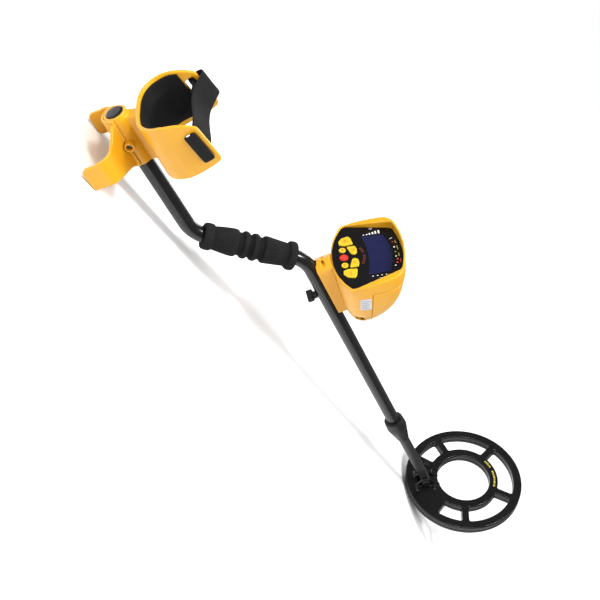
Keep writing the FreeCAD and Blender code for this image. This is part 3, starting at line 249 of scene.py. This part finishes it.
def woven(name, colour, pitch, relief, gloss):
    """Plain weave from two crossed sets of ribs on the piece's own length and width."""
    made = Surface(name, colour, 0.80, Specular_IOR_Level=gloss)
    uv = made.node("ShaderNodeUVMap").outputs["UV"]
    ribs = []
    for direction in ("X", "Y"):
        wave = made.node("ShaderNodeTexWave", wave_type="BANDS", bands_direction=direction)
        wave.inputs["Scale"].default_value = 1.0 / pitch / 10.0 * math.pi / 2
        wave.inputs["Distortion"].default_value = 0.6
        wave.inputs["Detail Scale"].default_value = 2.0
        made.link(uv, wave.inputs["Vector"])
        ribs.append(wave.outputs["Fac"])
    product = made.node("ShaderNodeMath", operation="MULTIPLY")
    made.link(ribs[0], product.inputs[0])
    made.link(ribs[1], product.inputs[1])
    made.vary_colour(product.outputs["Value"], tuple(c * 2.6 + 0.004 for c in colour), 0.75)
    made.vary_colour(made.noise(40.0), tuple(c * 0.5 for c in colour), 0.4)
    made.bump(product.outputs["Value"], relief)
    made.bump(made.noise(1800.0, 2.0), 0.00006)
    return made.material


def screen_glass():
    """Tinted window: deep blue, glossy and a little uneven."""
    made = Surface("tinted_window", (0.009, 0.010, 0.040), 0.18, Specular_IOR_Level=0.15)
    made.vary_colour(made.noise(22.0, 2.0), (0.012, 0.013, 0.052), 0.6)
    made.vary_roughness(made.noise(90.0), 0.12, 0.22)
    return made.material


def key_rubber(name, colour):
    made = moulded(
        name, colour, 0.42, 0.00003, 1300.0, Subsurface_Weight=0.10, Subsurface_Scale=0.002,
        Coat_Weight=0.15, Coat_Roughness=0.2,
    )
    return made.material


def printed_ink(name, colour):
    made = Surface(name, colour, 0.45)
    made.vary_colour(made.noise(800.0, 2.0), tuple(c * 0.75 for c in colour), 0.5)
    return made.material


def bare_metal(name, colour, roughness):
    made = Surface(name, colour, roughness, Metallic=1.0)
    made.vary_roughness(made.noise(400.0, 5.0), roughness - 0.08, roughness + 0.12)
    made.vary_colour(made.noise(60.0), tuple(c * 0.7 for c in colour), 0.4)
    made.bump(made.noise(900.0), 0.00002)
    return made.material


def circuit_board():
    """Solder mask over faint copper traces."""
    made = Surface("solder_mask", (0.01, 0.12, 0.05), 0.35, Coat_Weight=0.4)
    traces = made.node("ShaderNodeTexBrick")
    traces.inputs["Scale"].default_value = 90.0
    traces.inputs["Mortar Size"].default_value = 0.06
    made.link(made.place, traces.inputs["Vector"])
    made.vary_colour(traces.outputs["Fac"], (0.03, 0.25, 0.10), 0.8)
    made.bump(traces.outputs["Fac"], 0.00003)
    return made.material


def wound_wire():
    """Copper winding under a lacquer, with the turns showing as fine bands."""
    made = Surface("wound_wire", (0.48, 0.19, 0.07), 0.38, Metallic=1.0)
    wave = made.node("ShaderNodeTexWave", wave_type="RINGS", rings_direction="SPHERICAL")
    wave.inputs["Scale"].default_value = 300.0
    made.link(made.place, wave.inputs["Vector"])
    made.vary_colour(wave.outputs["Fac"], (0.62, 0.30, 0.12), 0.7)
    made.bump(wave.outputs["Fac"], 0.0001)
    return made.material


YELLOW = yellow_plastic()
TUBE = gloss_tube()
PLASTIC = black_plastic("black_moulded", 0.006, 0.40)
STEM = black_plastic("satin_stem", 0.010, 0.36)
# Coil shell: its sharply convex edges are 60 times paler, a painted highlight along the rounded edges.
SHELL = black_plastic("coil_shell", 0.0025, 0.24, 60.0)
RUBBER = moulded("soft_rubber", (0.006, 0.006, 0.006), 0.72, 0.00008, 500.0).material
FOAM = foam()
WEBBING = woven("elastic_webbing", (0.007, 0.007, 0.0075), 0.0011, 0.0003, 0.2)
KNIT = woven("lining_knit", (0.006, 0.006, 0.0065), 0.0007, 0.00012, 0.15)
FASCIA = moulded(
    "printed_overlay", (0.0032, 0.0032, 0.0036), 0.26, 0.00002, 2200.0, Specular_IOR_Level=0.2
).material
SCREEN = screen_glass()
KEY = key_rubber("key_silicone", (0.54, 0.37, 0.008))
POWER = key_rubber("power_silicone", (0.46, 0.018, 0.008))
STEEL = bare_metal("blacked_steel", (0.10, 0.10, 0.105), 0.30)
WHITE_INK = printed_ink("white_ink", (0.72, 0.72, 0.70))
RED_INK = printed_ink("red_ink", (0.55, 0.05, 0.035))
DEEP_RED_INK = printed_ink("deep_red_ink", (0.075, 0.008, 0.010))
OLIVE_INK = printed_ink("olive_ink", (0.30, 0.26, 0.05))
AMBER_INK = printed_ink("amber_ink", (0.60, 0.17, 0.012))
GREY_INK = printed_ink("grey_ink", (0.33, 0.34, 0.38))
MARK_INK = printed_ink("mark_ink", (0.50, 0.42, 0.05))

SLOT_MATERIALS = {
    "yellow_plastic": YELLOW,
    "black_tube": TUBE,
    "black_stem": STEM,
    "black_plastic": PLASTIC,
    "coil_plastic": SHELL,
    "black_rubber": RUBBER,
    "black_foam": FOAM,
    "black_webbing": WEBBING,
    "black_fascia": FASCIA,
    "screen": SCREEN,
    "lcd_glass": moulded("liquid_crystal", (0.12, 0.15, 0.13), 0.25).material,
    "yellow_key": KEY,
    "red_key": POWER,
    "circuit_board": circuit_board(),
    "battery_case": moulded("battery_jacket", (0.05, 0.05, 0.055), 0.35).material,
    "speaker_frame": bare_metal("pressed_steel", (0.35, 0.35, 0.36), 0.42),
    "copper": wound_wire(),
    "steel": STEEL,
}


def paint(piece, material):
    """Give a whole object one material."""
    piece.data.materials.clear()
    piece.data.materials.append(material)


for part in frame["record"]["subparts"]:
    paint(nodes[part["node"]], SLOT_MATERIALS[part["material_slot"]])

# ---------------------------------------------------------------- mesh helpers


def add_piece(name, mesh, body, material, smooth=True):
    """Link a finished mesh as a piece that rides on a body."""
    piece = bpy.data.objects.new(name, mesh)
    bpy.context.scene.collection.objects.link(piece)
    paint(piece, material)
    mesh.polygons.foreach_set("use_smooth", [smooth] * len(mesh.polygons))
    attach(piece, body)
    return piece


def from_bmesh(name, build, place):
    """A mesh from a bmesh drawn in a local frame."""
    mesh = bpy.data.meshes.new(name)
    bmesh.ops.recalc_face_normals(build, faces=build.faces)
    build.to_mesh(mesh)
    build.free()
    mesh.transform(place)
    return mesh


def evaluated(mesh, *modifiers):
    """The mesh with modifiers applied: each is a kind and its settings."""
    holder = bpy.data.objects.new("holder", mesh)
    bpy.context.scene.collection.objects.link(holder)
    for kind, settings in modifiers:
        made = holder.modifiers.new(kind.lower(), kind)
        for key, value in settings.items():
            setattr(made, key, value)
    graph = bpy.context.evaluated_depsgraph_get()
    result = bpy.data.meshes.new_from_object(holder.evaluated_get(graph))
    bpy.data.objects.remove(holder)
    return result


def softened_copy(node, voxel, passes, keep, place):
    """A copy of a CAD node whose edges are rounded as a mould leaves them.

    It is remeshed in millimetres in its own frame, so that flat faces stay flat."""
    steps = [
        ("REMESH", {"mode": "VOXEL", "voxel_size": voxel}),
        ("SMOOTH", {"factor": 0.5, "iterations": passes}),
    ]
    if keep < 1:
        steps.append(("DECIMATE", {"ratio": keep}))
    source = nodes[node].data.copy()
    source.transform(place.inverted())
    softened = evaluated(source, *steps)
    softened.transform(place)
    return softened


def revolved(name, profile, place, steps=96):
    """A surface of revolution about the local Z from (radius, height) points."""
    build = bmesh.new()
    rings = []
    for radius, height in profile:
        ring = []
        for step in range(steps):
            angle = 2 * math.pi * step / steps
            ring.append(build.verts.new((radius * math.cos(angle), radius * math.sin(angle), height)))
        rings.append(ring)
    for lower, upper in zip(rings, rings[1:]):
        for step in range(steps):
            after = (step + 1) % steps
            build.faces.new((lower[step], lower[after], upper[after], upper[step]))
    return from_bmesh(name, build, place)


def smooth_line(points, per_span=8):
    """A Catmull-Rom line through points."""
    ends = [points[0] * 2 - points[1]] + list(points) + [points[-1] * 2 - points[-2]]
    line = []
    for before, start, end, after in zip(ends, ends[1:], ends[2:], ends[3:]):
        for step in range(per_span):
            t = step / per_span
            line.append(
                0.5 * (
                    start * 2 + (end - before) * t
                    + (before * 2 - start * 5 + end * 4 - after) * t**2
                    + (start * 3 - before - end * 3 + after) * t**3
                )
            )
    return line + [points[-1]]


def plate(name, outline, place, body, material, low, high):
    """A thin flat shape between two heights, its low edge softened, from (across, up) points."""
    build = bmesh.new()
    face = build.faces.new([build.verts.new((x, y, low)) for x, y in outline])
    grown = bmesh.ops.extrude_face_region(build, geom=[face])
    moved = [item for item in grown["geom"] if isinstance(item, bmesh.types.BMVert)]
    bmesh.ops.translate(build, verts=moved, vec=(0, 0, high - low))
    edges = [edge for edge in build.edges if all(abs(v.co.z - low) < 1e-6 for v in edge.verts)]
    bmesh.ops.bevel(build, geom=edges, offset=0.07, segments=2, affect="EDGES", profile=0.5)
    add_piece(name, from_bmesh(name, build, place), body, material, smooth=False)


def round_outline(centre, radius, steps=28):
    turns = [2 * math.pi * step / steps for step in range(steps)]
    return [(centre[0] + radius * math.cos(a), centre[1] + radius * math.sin(a)) for a in turns]


def bar_outline(centre, width, height, turn=0.0):
    """A rectangle with cut corners, turned by some degrees."""
    cut = 0.18 * min(width, height)
    corners = []
    for sx, sy in ((1, 1), (-1, 1), (-1, -1), (1, -1)):
        ends = [(sx * width / 2, sy * (height / 2 - cut)), (sx * (width / 2 - cut), sy * height / 2)]
        corners += ends if sx * sy > 0 else ends[::-1]
    angle = math.radians(turn)
    return [
        (
            centre[0] + x * math.cos(angle) - y * math.sin(angle),
            centre[1] + x * math.sin(angle) + y * math.cos(angle),
        )
        for x, y in corners
    ]


def chevron(foot, half, rise, thickness):
    """An arrowhead without a shaft; it points down when its sizes are negative."""
    x, y = foot
    inner = [(x - half, y), (x, y + rise), (x + half, y)]
    return inner + [(across, up + thickness) for across, up in inner[::-1]]


def arc_outline(centre, inner, outer, start, end, steps=20):
    """A part of a ring between two angles in degrees."""
    angles = [math.radians(start + (end - start) * step / steps) for step in range(steps + 1)]
    rim = [(centre[0] + outer * math.cos(a), centre[1] + outer * math.sin(a)) for a in angles]
    hole = [(centre[0] + inner * math.cos(a), centre[1] + inner * math.sin(a)) for a in angles]
    return rim + hole[::-1]


# ---------------------------------------------------------------- rounded mouldings

# For each CAD node: its piece, voxel size (mm), smoothing passes, share of the faces kept,
# frame, material and slot.
MOULDINGS = {
    "control_housing": ("housing_shell", 1.0, 5, 0.5, SHAFT, YELLOW, "yellow_plastic"),
    "battery_door": ("battery_lid", 0.9, 4, 0.5, SHAFT, YELLOW, "yellow_plastic"),
    "arm_cuff": ("cuff_shell", 0.9, 6, 0.5, SHAFT, YELLOW, "yellow_plastic"),
    "cuff_stand": ("stand_feet", 0.8, 6, 0.6, SHAFT, YELLOW, "yellow_plastic"),
    "mounting_saddle": ("saddle_block", 0.6, 5, 0.5, SHAFT, YELLOW, "yellow_plastic"),
    "coil_cover": ("coil_top", 0.7, 16, 1.0, COIL, SHELL, "coil_plastic"),
    "coil_base": ("coil_bottom", 0.9, 12, 0.6, COIL, SHELL, "coil_plastic"),
}
NODE_BODY = {
    node: body for body, members in frame["record"]["behaviour"]["bodies"].items() for node in members
}

shells = {}
for node, (name, voxel, passes, keep, place, material, slot) in MOULDINGS.items():
    mesh = softened_copy(node, voxel, passes, keep, place)
    shells[node] = add_piece(name, mesh, NODE_BODY[node], material)
    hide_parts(node)

# ---------------------------------------------------------------- foam grip

GRIP_BORE = 11.15
# Radius and place along the grip: a flange, the palm swell, two finger rings, a long taper and
# an end ring.
GRIP_SHAPE = [
    (17.6, 18.2), (19.3, 18.9), (20.4, 20.8), (20.7, 24.0), (20.4, 27.2), (19.2, 29.4),
    (17.4, 30.8), (16.8, 32.6), (17.0, 36.0), (18.0, 48.0), (19.1, 60.0), (19.2, 63.6),
    (18.6, 65.8), (17.0, 67.2), (16.0, 69.0), (15.9, 71.0), (16.4, 73.0), (18.0, 74.6),
    (19.2, 77.0), (19.3, 79.0), (18.8, 81.4), (17.2, 83.2), (16.0, 85.0), (16.4, 87.2),
    (18.0, 88.8), (19.2, 91.0), (19.4, 93.0), (18.9, 95.4), (17.2, 97.2), (16.1, 99.2),
    (16.1, 101.0), (16.8, 103.0), (18.6, 104.8), (19.4, 107.4), (19.4, 112.0), (18.7, 120.0),
    (17.6, 129.0), (16.5, 136.4), (16.8, 138.0), (18.0, 139.4), (18.8, 141.6), (18.9, 145.0),
    (18.7, 148.6), (18.0, 151.0), (16.6, 152.5), (14.0, 153.0),
]


def foam_grip():
    """Foam handle, softly rounded all over."""
    line = smooth_line([Vector((r, h)) for r, h in GRIP_SHAPE], 3)
    profile = [(GRIP_BORE, 18.2), (14.0, 17.9)] + [(p.x, p.y) for p in line]
    profile += [(GRIP_BORE, 152.8), (GRIP_BORE, 18.2)]
    mesh = revolved("grip_sleeve", profile, GRIP)
    piece = add_piece("grip_sleeve", mesh, "root", FOAM)
    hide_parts("foam_grip")


foam_grip()

# ---------------------------------------------------------------- cuff liner


TROUGH_MIDDLE = -45.0
TROUGH_RADIUS = 55.0


def cuff_liner():
    """Knit-faced foam lining: the CAD sheet with rounded edges, its weave laid round the trough."""
    mesh = softened_copy("cuff_liner", 0.55, 7, 0.6, SHAFT)
    layer = mesh.uv_layers.new(name="cloth")
    inverse = SHAFT.inverted()
    for loop in mesh.loops:
        spot = inverse @ mesh.vertices[loop.vertex_index].co
        angle = math.atan2(spot.y, TROUGH_MIDDLE - spot.z)
        layer.data[loop.index].uv = (spot.x * MM, angle * TROUGH_RADIUS * MM)
    piece = add_piece("cuff_lining", mesh, "root", KNIT)
    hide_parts("cuff_liner")


cuff_liner()

# ---------------------------------------------------------------- cuff strap

STRAP_WIDTH = 38.0
STRAP_THICKNESS = 2.0
STRAP_CUPPING = 0.5
TAIL_WIDTH = 39.2
TAIL_THICKNESS = 1.7
FOLD_WIDTH = 42.6
FOLD_THICKNESS = 2.2
STITCH_INSET = 3.5
STITCH_GAP = 2.6
STITCH_HALF_LENGTH = 0.85
STITCH_HALF_WIDTH = 0.33
STITCH_RISE = 0.34
# Across (y) and height (z) of the band's middle, from the near slot to over the far tip.
STRAP_ROUTE = [
    (-62.6, -33.6), (-60.8, -33.2), (-57.0, -32.4), (-50.0, -30.9), (-30.0, -28.6), (-10.0, -29.4),
    (10.0, -30.0), (28.0, -28.0), (42.0, -22.4), (52.0, -16.8), (59.5, -13.2), (64.4, -14.6),
    (66.2, -20.0), (66.4, -27.0), (65.4, -31.4), (62.0, -33.4),
]
# The folded end outside the near slot, which stops the strap from pulling through.
FOLD_ROUTE = [
    (-61.9, -26.0), (-63.2, -26.2), (-64.2, -28.4), (-64.4, -32.5),
    (-64.2, -36.6), (-63.2, -38.8), (-61.9, -39.0),
]
# The doubled tail, back in through the far slot and along under the band.
TAIL_ROUTE = [(62.0, -33.4), (57.0, -33.6), (53.0, -30.6), (46.0, -26.0), (38.0, -27.6), (27.0, -30.6)]


def band_line(route):
    return smooth_line([Vector((SLOT_CENTRE.x, y, z)) for y, z in route], 6)


def band(name, route, width, thickness, cupping=0.0):
    """Webbing along a route: a flat section with round selvages, its edges raised by cupping."""
    line = band_line(route)
    section = []
    half = thickness / 2
    for step in range(17):
        across = -width / 2 + width * step / 16
        section.append((across, half * math.sqrt(max(0.05, 1 - abs(2 * across / width) ** 12))))
    outline = [(a, h) for a, h in section] + [(a, -h) for a, h in section[::-1]]
    build = bmesh.new()
    uv = build.loops.layers.uv.new("cloth")
    rings = []
    travel = [0.0]
    for index, point in enumerate(line):
        before = line[max(index - 1, 0)]
        after = line[min(index + 1, len(line) - 1)]
        along = (after - before).normalized()
        up = Vector((0, -along.z, along.y))
        if index:
            travel.append(travel[-1] + (point - line[index - 1]).length)
        cup = cupping * math.sin(math.pi * index / (len(line) - 1))
        ring = []
        for across, height in outline:
            rise = cup * (2 * across / width) ** 2
            ring.append(build.verts.new(point + up * (height + rise) + Vector((across, 0, 0))))
        rings.append(ring)
    size = len(outline)
    for index in range(len(rings) - 1):
        for step in range(size):
            after = (step + 1) % size
            corners = (
                rings[index][step], rings[index][after],
                rings[index + 1][after], rings[index + 1][step],
            )
            face = build.faces.new(corners)
            spots = (
                (outline[step][0], travel[index]), (outline[after][0], travel[index]),
                (outline[after][0], travel[index + 1]), (outline[step][0], travel[index + 1]),
            )
            for loop, spot in zip(face.loops, spots):
                loop[uv].uv = (spot[0] * MM, spot[1] * MM)
    for ring in (rings[0], rings[-1]):
        build.faces.new(ring)
    return add_piece(name, from_bmesh(name, build, STRAP), "root", WEBBING)


def stitch_row(build, start, end, up):
    """A row of thread stitches between two points, each a small six-sided lozenge."""
    way = (end - start).normalized()
    side = way.cross(up).normalized() * STITCH_HALF_WIDTH
    count = max(1, int((end - start).length / STITCH_GAP))
    for index in range(count):
        middle = start + way * STITCH_GAP * (index + 0.5)
        reach = way * STITCH_HALF_LENGTH
        lift = up * STITCH_RISE
        low = [middle - reach, middle - reach * 0.3 + side, middle + reach * 0.3 + side]
        low += [middle + reach, middle + reach * 0.3 - side, middle - reach * 0.3 - side]
        base = [build.verts.new(point - lift) for point in low]
        top = build.verts.new(middle + lift)
        for first, second in zip(base, base[1:] + base[:1]):
            build.faces.new((first, second, top))
        build.faces.new(base[::-1])


def cuff_strap():
    """The band, its tail at the far tip, its fold at the near slot and the box of stitches."""
    piece = band("strap_webbing", STRAP_ROUTE, STRAP_WIDTH, STRAP_THICKNESS, STRAP_CUPPING)
    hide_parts("cuff_strap")
    band("strap_tail", TAIL_ROUTE, TAIL_WIDTH, TAIL_THICKNESS)
    band("strap_fold", FOLD_ROUTE, FOLD_WIDTH, FOLD_THICKNESS)
    build = bmesh.new()
    half = STRAP_WIDTH / 2 - STITCH_INSET
    rise = [point for point in band_line(STRAP_ROUTE) if 26.0 < point.y < 50.0 and point.z > -29.0]
    first, last = rise[0], rise[-1]
    up = Vector((0, -(last - first).z, (last - first).y)).normalized()
    skin = up * (STRAP_THICKNESS / 2 + 0.05)
    corners = [
        end + Vector((across * half, 0, 0)) + skin
        for end, across in ((first, -1), (first, 1), (last, 1), (last, -1))
    ]
    for start, end in zip(corners, corners[1:] + corners[:1]):
        spans = [start.lerp(end, step / 4) for step in range(5)]
        for begin, stop in zip(spans, spans[1:]):
            stitch_row(build, begin, stop, up)
    stitches = from_bmesh("strap_stitches", build, STRAP)
    add_piece("strap_stitches", stitches, "root", WEBBING, False)


cuff_strap()

# ---------------------------------------------------------------- fascia graphics (PANEL frame)

# An arc of plain dashes in place of the photo's lettering.
TITLE_RADIUS = 34.0
TITLE_HEIGHT = 28.2
TITLE_DASHES = 9
TITLE_SPACE = 5
TITLE_STEP = 6.6
# Height on the fascia and length of each signal bar.
FAR_SIDE_BARS = [(32.8, 1.2), (37.5, 2.0), (41.7, 3.2), (46.2, 4.5), (50.4, 5.8), (55.2, 7.0)]


def fascia_marks():
    """Plain dashes, signal bars, dots and tiles round the screen; no lettering."""
    count = 0

    def mark(outline, ink):
        nonlocal count
        plate(f"fascia_mark_{count:02d}", outline, PANEL, "root", ink, -0.14, 0.1)
        count += 1

    for step in range(TITLE_DASHES):
        angle = (step - (TITLE_DASHES - 1) / 2) * TITLE_STEP
        centre = (
            TITLE_RADIUS * math.sin(math.radians(angle)),
            TITLE_HEIGHT - TITLE_RADIUS * (1 - math.cos(math.radians(angle))),
        )
        if step != TITLE_SPACE:
            mark(bar_outline(centre, 2.9, 4.0, -angle), DEEP_RED_INK)
    for up, tall in FAR_SIDE_BARS:
        mark(bar_outline((41.2 + tall / 2, up), tall, 2.3), WHITE_INK)
    mark(arc_outline((53.6, 44.4), 1.5, 2.2, 40, 320), GREY_INK)
    mark(bar_outline((53.8, 44.4), 2.6, 0.8), GREY_INK)
    for up in (34.6, 40.9, 47.3, 53.2):
        mark(bar_outline((-43.6, up), 1.5, 1.9), WHITE_INK)
    mark(arc_outline((-50.3, 44.2), 1.6, 2.3, 0, 250), GREY_INK)
    mark(bar_outline((-48.8, 44.2), 3.4, 0.9, 90), GREY_INK)
    mark(bar_outline((27.4, 70.2), 1.2, 4.6, -24), WHITE_INK)
    for across, up, radius, ink in (
        (19.5, 71.6, 1.1, RED_INK),
        (8.5, 72.2, 1.5, WHITE_INK),
        (-1.5, 72.6, 1.2, OLIVE_INK),
        (-10.5, 72.0, 1.3, WHITE_INK),
        (-16.6, 73.4, 1.5, RED_INK),
        (-23.3, 72.0, 1.5, RED_INK),
        (-28.6, 68.6, 1.3, WHITE_INK),
    ):
        mark(round_outline((across, up), radius), ink)
    for across, width in ((19.0, 6.0), (6.5, 8.5), (-8.0, 6.5)):
        mark(bar_outline((across, 76.8 - abs(across) * 0.06), width, 1.5, -across * 0.35), OLIVE_INK)
    mark(bar_outline((-19.5, 77.0), 6.5, 1.2, 8), RED_INK)


KEY_TOP = -1.6


def key_marks():
    """One plain sign on each key: plus, minus, chevrons, dots and the power sign."""

    def sign(name, outline, body, ink=AMBER_INK):
        plate(name, outline, PANEL, body, ink, KEY_TOP - 0.12, KEY_TOP + 0.12)

    sign("sign_plus_bar", bar_outline((33.2, 5.0), 7.0, 1.5, 8), "key_outer_left")
    sign("sign_plus_post", bar_outline((33.2, 5.0), 1.5, 7.0, 8), "key_outer_left")
    sign("sign_minus_bar", bar_outline((-33.2, 5.0), 7.0, 1.5, -8), "key_outer_right")
    sign("sign_up", chevron((12.6, 10.6), 3.0, 4.0, 2.0), "key_inner_left")
    sign("sign_down", chevron((-12.6, 16.0), -3.0, -4.0, -2.0), "key_inner_right")
    sign("sign_dot_left", round_outline((15.5, -1.2), 1.7), "key_round_left")
    sign("sign_dot_right", round_outline((-15.5, -1.2), 1.7), "key_round_right")
    sign("sign_power_ring", arc_outline((0, -0.8), 2.2, 3.0, 125, 415, 28), "key_power", RED_INK)
    sign("sign_power_post", bar_outline((0, 1.6), 0.9, 3.2), "key_power", RED_INK)


fascia_marks()
key_marks()

# ---------------------------------------------------------------- label on the control box

# Corners on the near side, as (along, up) in the shaft frame: bottom left, bottom right,
# top right and top left as the label reads.
LABEL_CORNERS = [Vector(corner) for corner in ((69.0, 49.5), (74.5, 64.5), (49.0, 71.5), (45.5, 56.5))]
LABEL_GRID = 11
PAPER_THICKNESS = 0.09
PAPER_LIFT = 0.16
INK_LIFT = 0.24
LINE_ENDS = (0.88, 0.7, 0.82, 0.55, 0.75)
TOP_LINE = 0.84
LINE_STEP = 0.165
LINE_HALF = 0.035
OUTSIDE = -120.0


def wrapped(name, box, lift, material, surface):
    """A thin sheet laid on the near side of a shell, followed point by point.

    The box is its place on the label: from left to right and from bottom to top, each 0 to 1."""
    inverse = SHAFT.inverted()
    bottom_left, bottom_right, top_right, top_left = LABEL_CORNERS
    left, right, bottom, top = box
    build = bmesh.new()
    grid = []
    for row in range(LABEL_GRID):
        up = bottom + (top - bottom) * row / (LABEL_GRID - 1)
        line = []
        for column in range(LABEL_GRID):
            across = left + (right - left) * column / (LABEL_GRID - 1)
            low = bottom_left.lerp(bottom_right, across)
            spot = low.lerp(top_left.lerp(top_right, across), up)
            hit, normal, _, _ = surface.ray_cast(SHAFT @ Vector((spot.x, OUTSIDE, spot.y)), LEFT)
            line.append(build.verts.new(inverse @ (hit + normal * lift * MM)))
        grid.append(line)
    for lower, upper in zip(grid, grid[1:]):
        for column in range(LABEL_GRID - 1):
            build.faces.new((lower[column], lower[column + 1], upper[column + 1], upper[column]))
    mesh = from_bmesh(name, build, SHAFT)
    solid = evaluated(mesh, ("SOLIDIFY", {"thickness": PAPER_THICKNESS * MM, "offset": 0.0}))
    add_piece(name, solid, "root", material)


def side_label():
    """Blank pale label with a few plain ruled lines."""
    shell = shells["control_housing"].data
    surface = BVHTree.FromPolygons([v.co for v in shell.vertices], [p.vertices for p in shell.polygons])
    paper = Surface("label_paper", (0.50, 0.50, 0.51), 0.42)
    paper.vary_colour(paper.noise(900.0), (0.42, 0.42, 0.45), 0.5)
    paper.vary_roughness(paper.noise(200.0), 0.36, 0.5)
    wrapped("side_label", (0, 1, 0, 1), PAPER_LIFT, paper.material, surface)
    for index, end in enumerate(LINE_ENDS):
        height = TOP_LINE - LINE_STEP * index
        line = (0.1, end, height - LINE_HALF, height + LINE_HALF)
        wrapped(f"label_line_{index}", line, INK_LIFT, GREY_INK, surface)


side_label()

# ---------------------------------------------------------------- marks on the coil

MARK_RADIUS = 57.6
MARK_START = 33.0
MARK_END = -24.0
MARK_COUNT = 17
MARK_SPACE = (5, 6)


def coil_marks():
    """A broken arc of plain dashes on the front of the inner ring."""
    for index in range(MARK_COUNT):
        if index in MARK_SPACE:
            continue
        angle = MARK_START + (MARK_END - MARK_START) * index / (MARK_COUNT - 1)
        width = 2.3 if index % 3 else 1.5
        way = Vector((math.cos(math.radians(angle)), math.sin(math.radians(angle))))
        outline = bar_outline(way * MARK_RADIUS, 3.6, width, angle)
        plate(f"coil_mark_{index:02d}", outline, COIL, "coil", MARK_INK, -0.1, 0.12)


coil_marks()

# ---------------------------------------------------------------- studio

# The camera that was fitted to the photo: metres and degrees, lens and sensor in mm.
CAMERA_PLACE = Vector((-1.0279, -0.9630, 0.5006))
CAMERA_HEADING = 46.83
CAMERA_ELEVATION = -17.48
CAMERA_ROLL = 65.04
CAMERA_LENS = 56.48
CAMERA_SENSOR = 36.0
FLOOR_HALF = 60.0
FLOOR_LEVEL = -0.0004
AMBIENT = 0.30
LIT_MIDDLE = (0.0, 0.0, 0.1)
SUN_STRENGTH = 3.3
SUN_WIDTH = 70
SUN_WAY = Vector((0.30, 0.42, -1.0))


def studio_floor():
    """A plain pale floor that runs out of the picture on every side."""
    build = bmesh.new()
    signs = ((-1, -1), (1, -1), (1, 1), (-1, 1))
    build.faces.new([build.verts.new((x * FLOOR_HALF, y * FLOOR_HALF, 0)) for x, y in signs])
    mesh = from_bmesh("studio_floor", build, Matrix.Translation((0, 0, FLOOR_LEVEL)))
    floor = bpy.data.objects.new("studio_floor", mesh)
    bpy.context.scene.collection.objects.link(floor)
    paper = Surface("floor_paper", (0.90, 0.90, 0.90), 0.9)
    paper.vary_colour(paper.noise(3.0), (0.88, 0.88, 0.88), 0.5)
    paint(floor, paper.material)


def softbox(name, place, size, power):
    """A square area light aimed at the middle of the object."""
    data = bpy.data.lights.new(name, "AREA")
    data.size = size
    data.energy = power
    light = bpy.data.objects.new(name, data)
    light.location = place
    light.rotation_euler = (Vector(LIT_MIDDLE) - Vector(place)).to_track_quat("-Z", "Y").to_euler()
    bpy.context.scene.collection.objects.link(light)


def sky():
    """White backdrop for the camera; dimmer for everything it lights."""
    world = bpy.data.worlds.new("studio_world")
    world.use_nodes = True
    tree = world.node_tree
    background = tree.nodes["Background"]
    background.inputs["Color"].default_value = (1, 1, 1, 1)
    strength = tree.nodes.new("ShaderNodeMapRange")
    strength.inputs["To Min"].default_value = AMBIENT
    strength.inputs["To Max"].default_value = 1.0
    path = tree.nodes.new("ShaderNodeLightPath")
    tree.links.new(path.outputs["Is Camera Ray"], strength.inputs["Value"])
    tree.links.new(strength.outputs["Result"], background.inputs["Strength"])
    bpy.context.scene.world = world


def studio_lights():
    """A wide soft key from overhead, and small boxes whose reflections streak what is glossy."""
    sky()
    data = bpy.data.lights.new("key", "SUN")
    data.energy = SUN_STRENGTH
    data.angle = math.radians(SUN_WIDTH)
    key = bpy.data.objects.new("key", data)
    key.rotation_euler = SUN_WAY.to_track_quat("-Z", "Y").to_euler()
    key.visible_glossy = False
    bpy.context.scene.collection.objects.link(key)
    softbox("strip_high", (-0.35, -0.25, 1.5), 0.22, 13.0)
    softbox("strip_side", (-1.2, -0.2, 1.1), 0.22, 9.0)
    softbox("rim", (0.6, 1.5, 0.9), 0.6, 8.0)


def studio_camera():
    """The camera as fitted to the photo, rolled about its own axis."""
    data = bpy.data.cameras.new("studio_camera")
    data.lens = CAMERA_LENS
    data.sensor_width = CAMERA_SENSOR
    data.clip_end = 200.0
    camera = bpy.data.objects.new("studio_camera", data)
    turn = Matrix.Rotation(math.radians(CAMERA_HEADING - 90), 4, "Z")
    turn @= Matrix.Rotation(math.radians(90 + CAMERA_ELEVATION), 4, "X")
    turn @= Matrix.Rotation(math.radians(CAMERA_ROLL), 4, "Z")
    camera.matrix_world = Matrix.Translation(CAMERA_PLACE) @ turn
    bpy.context.scene.collection.objects.link(camera)
    bpy.context.scene.camera = camera


studio_floor()
studio_lights()
studio_camera()
bpy.context.scene.view_settings.view_transform = "Standard"
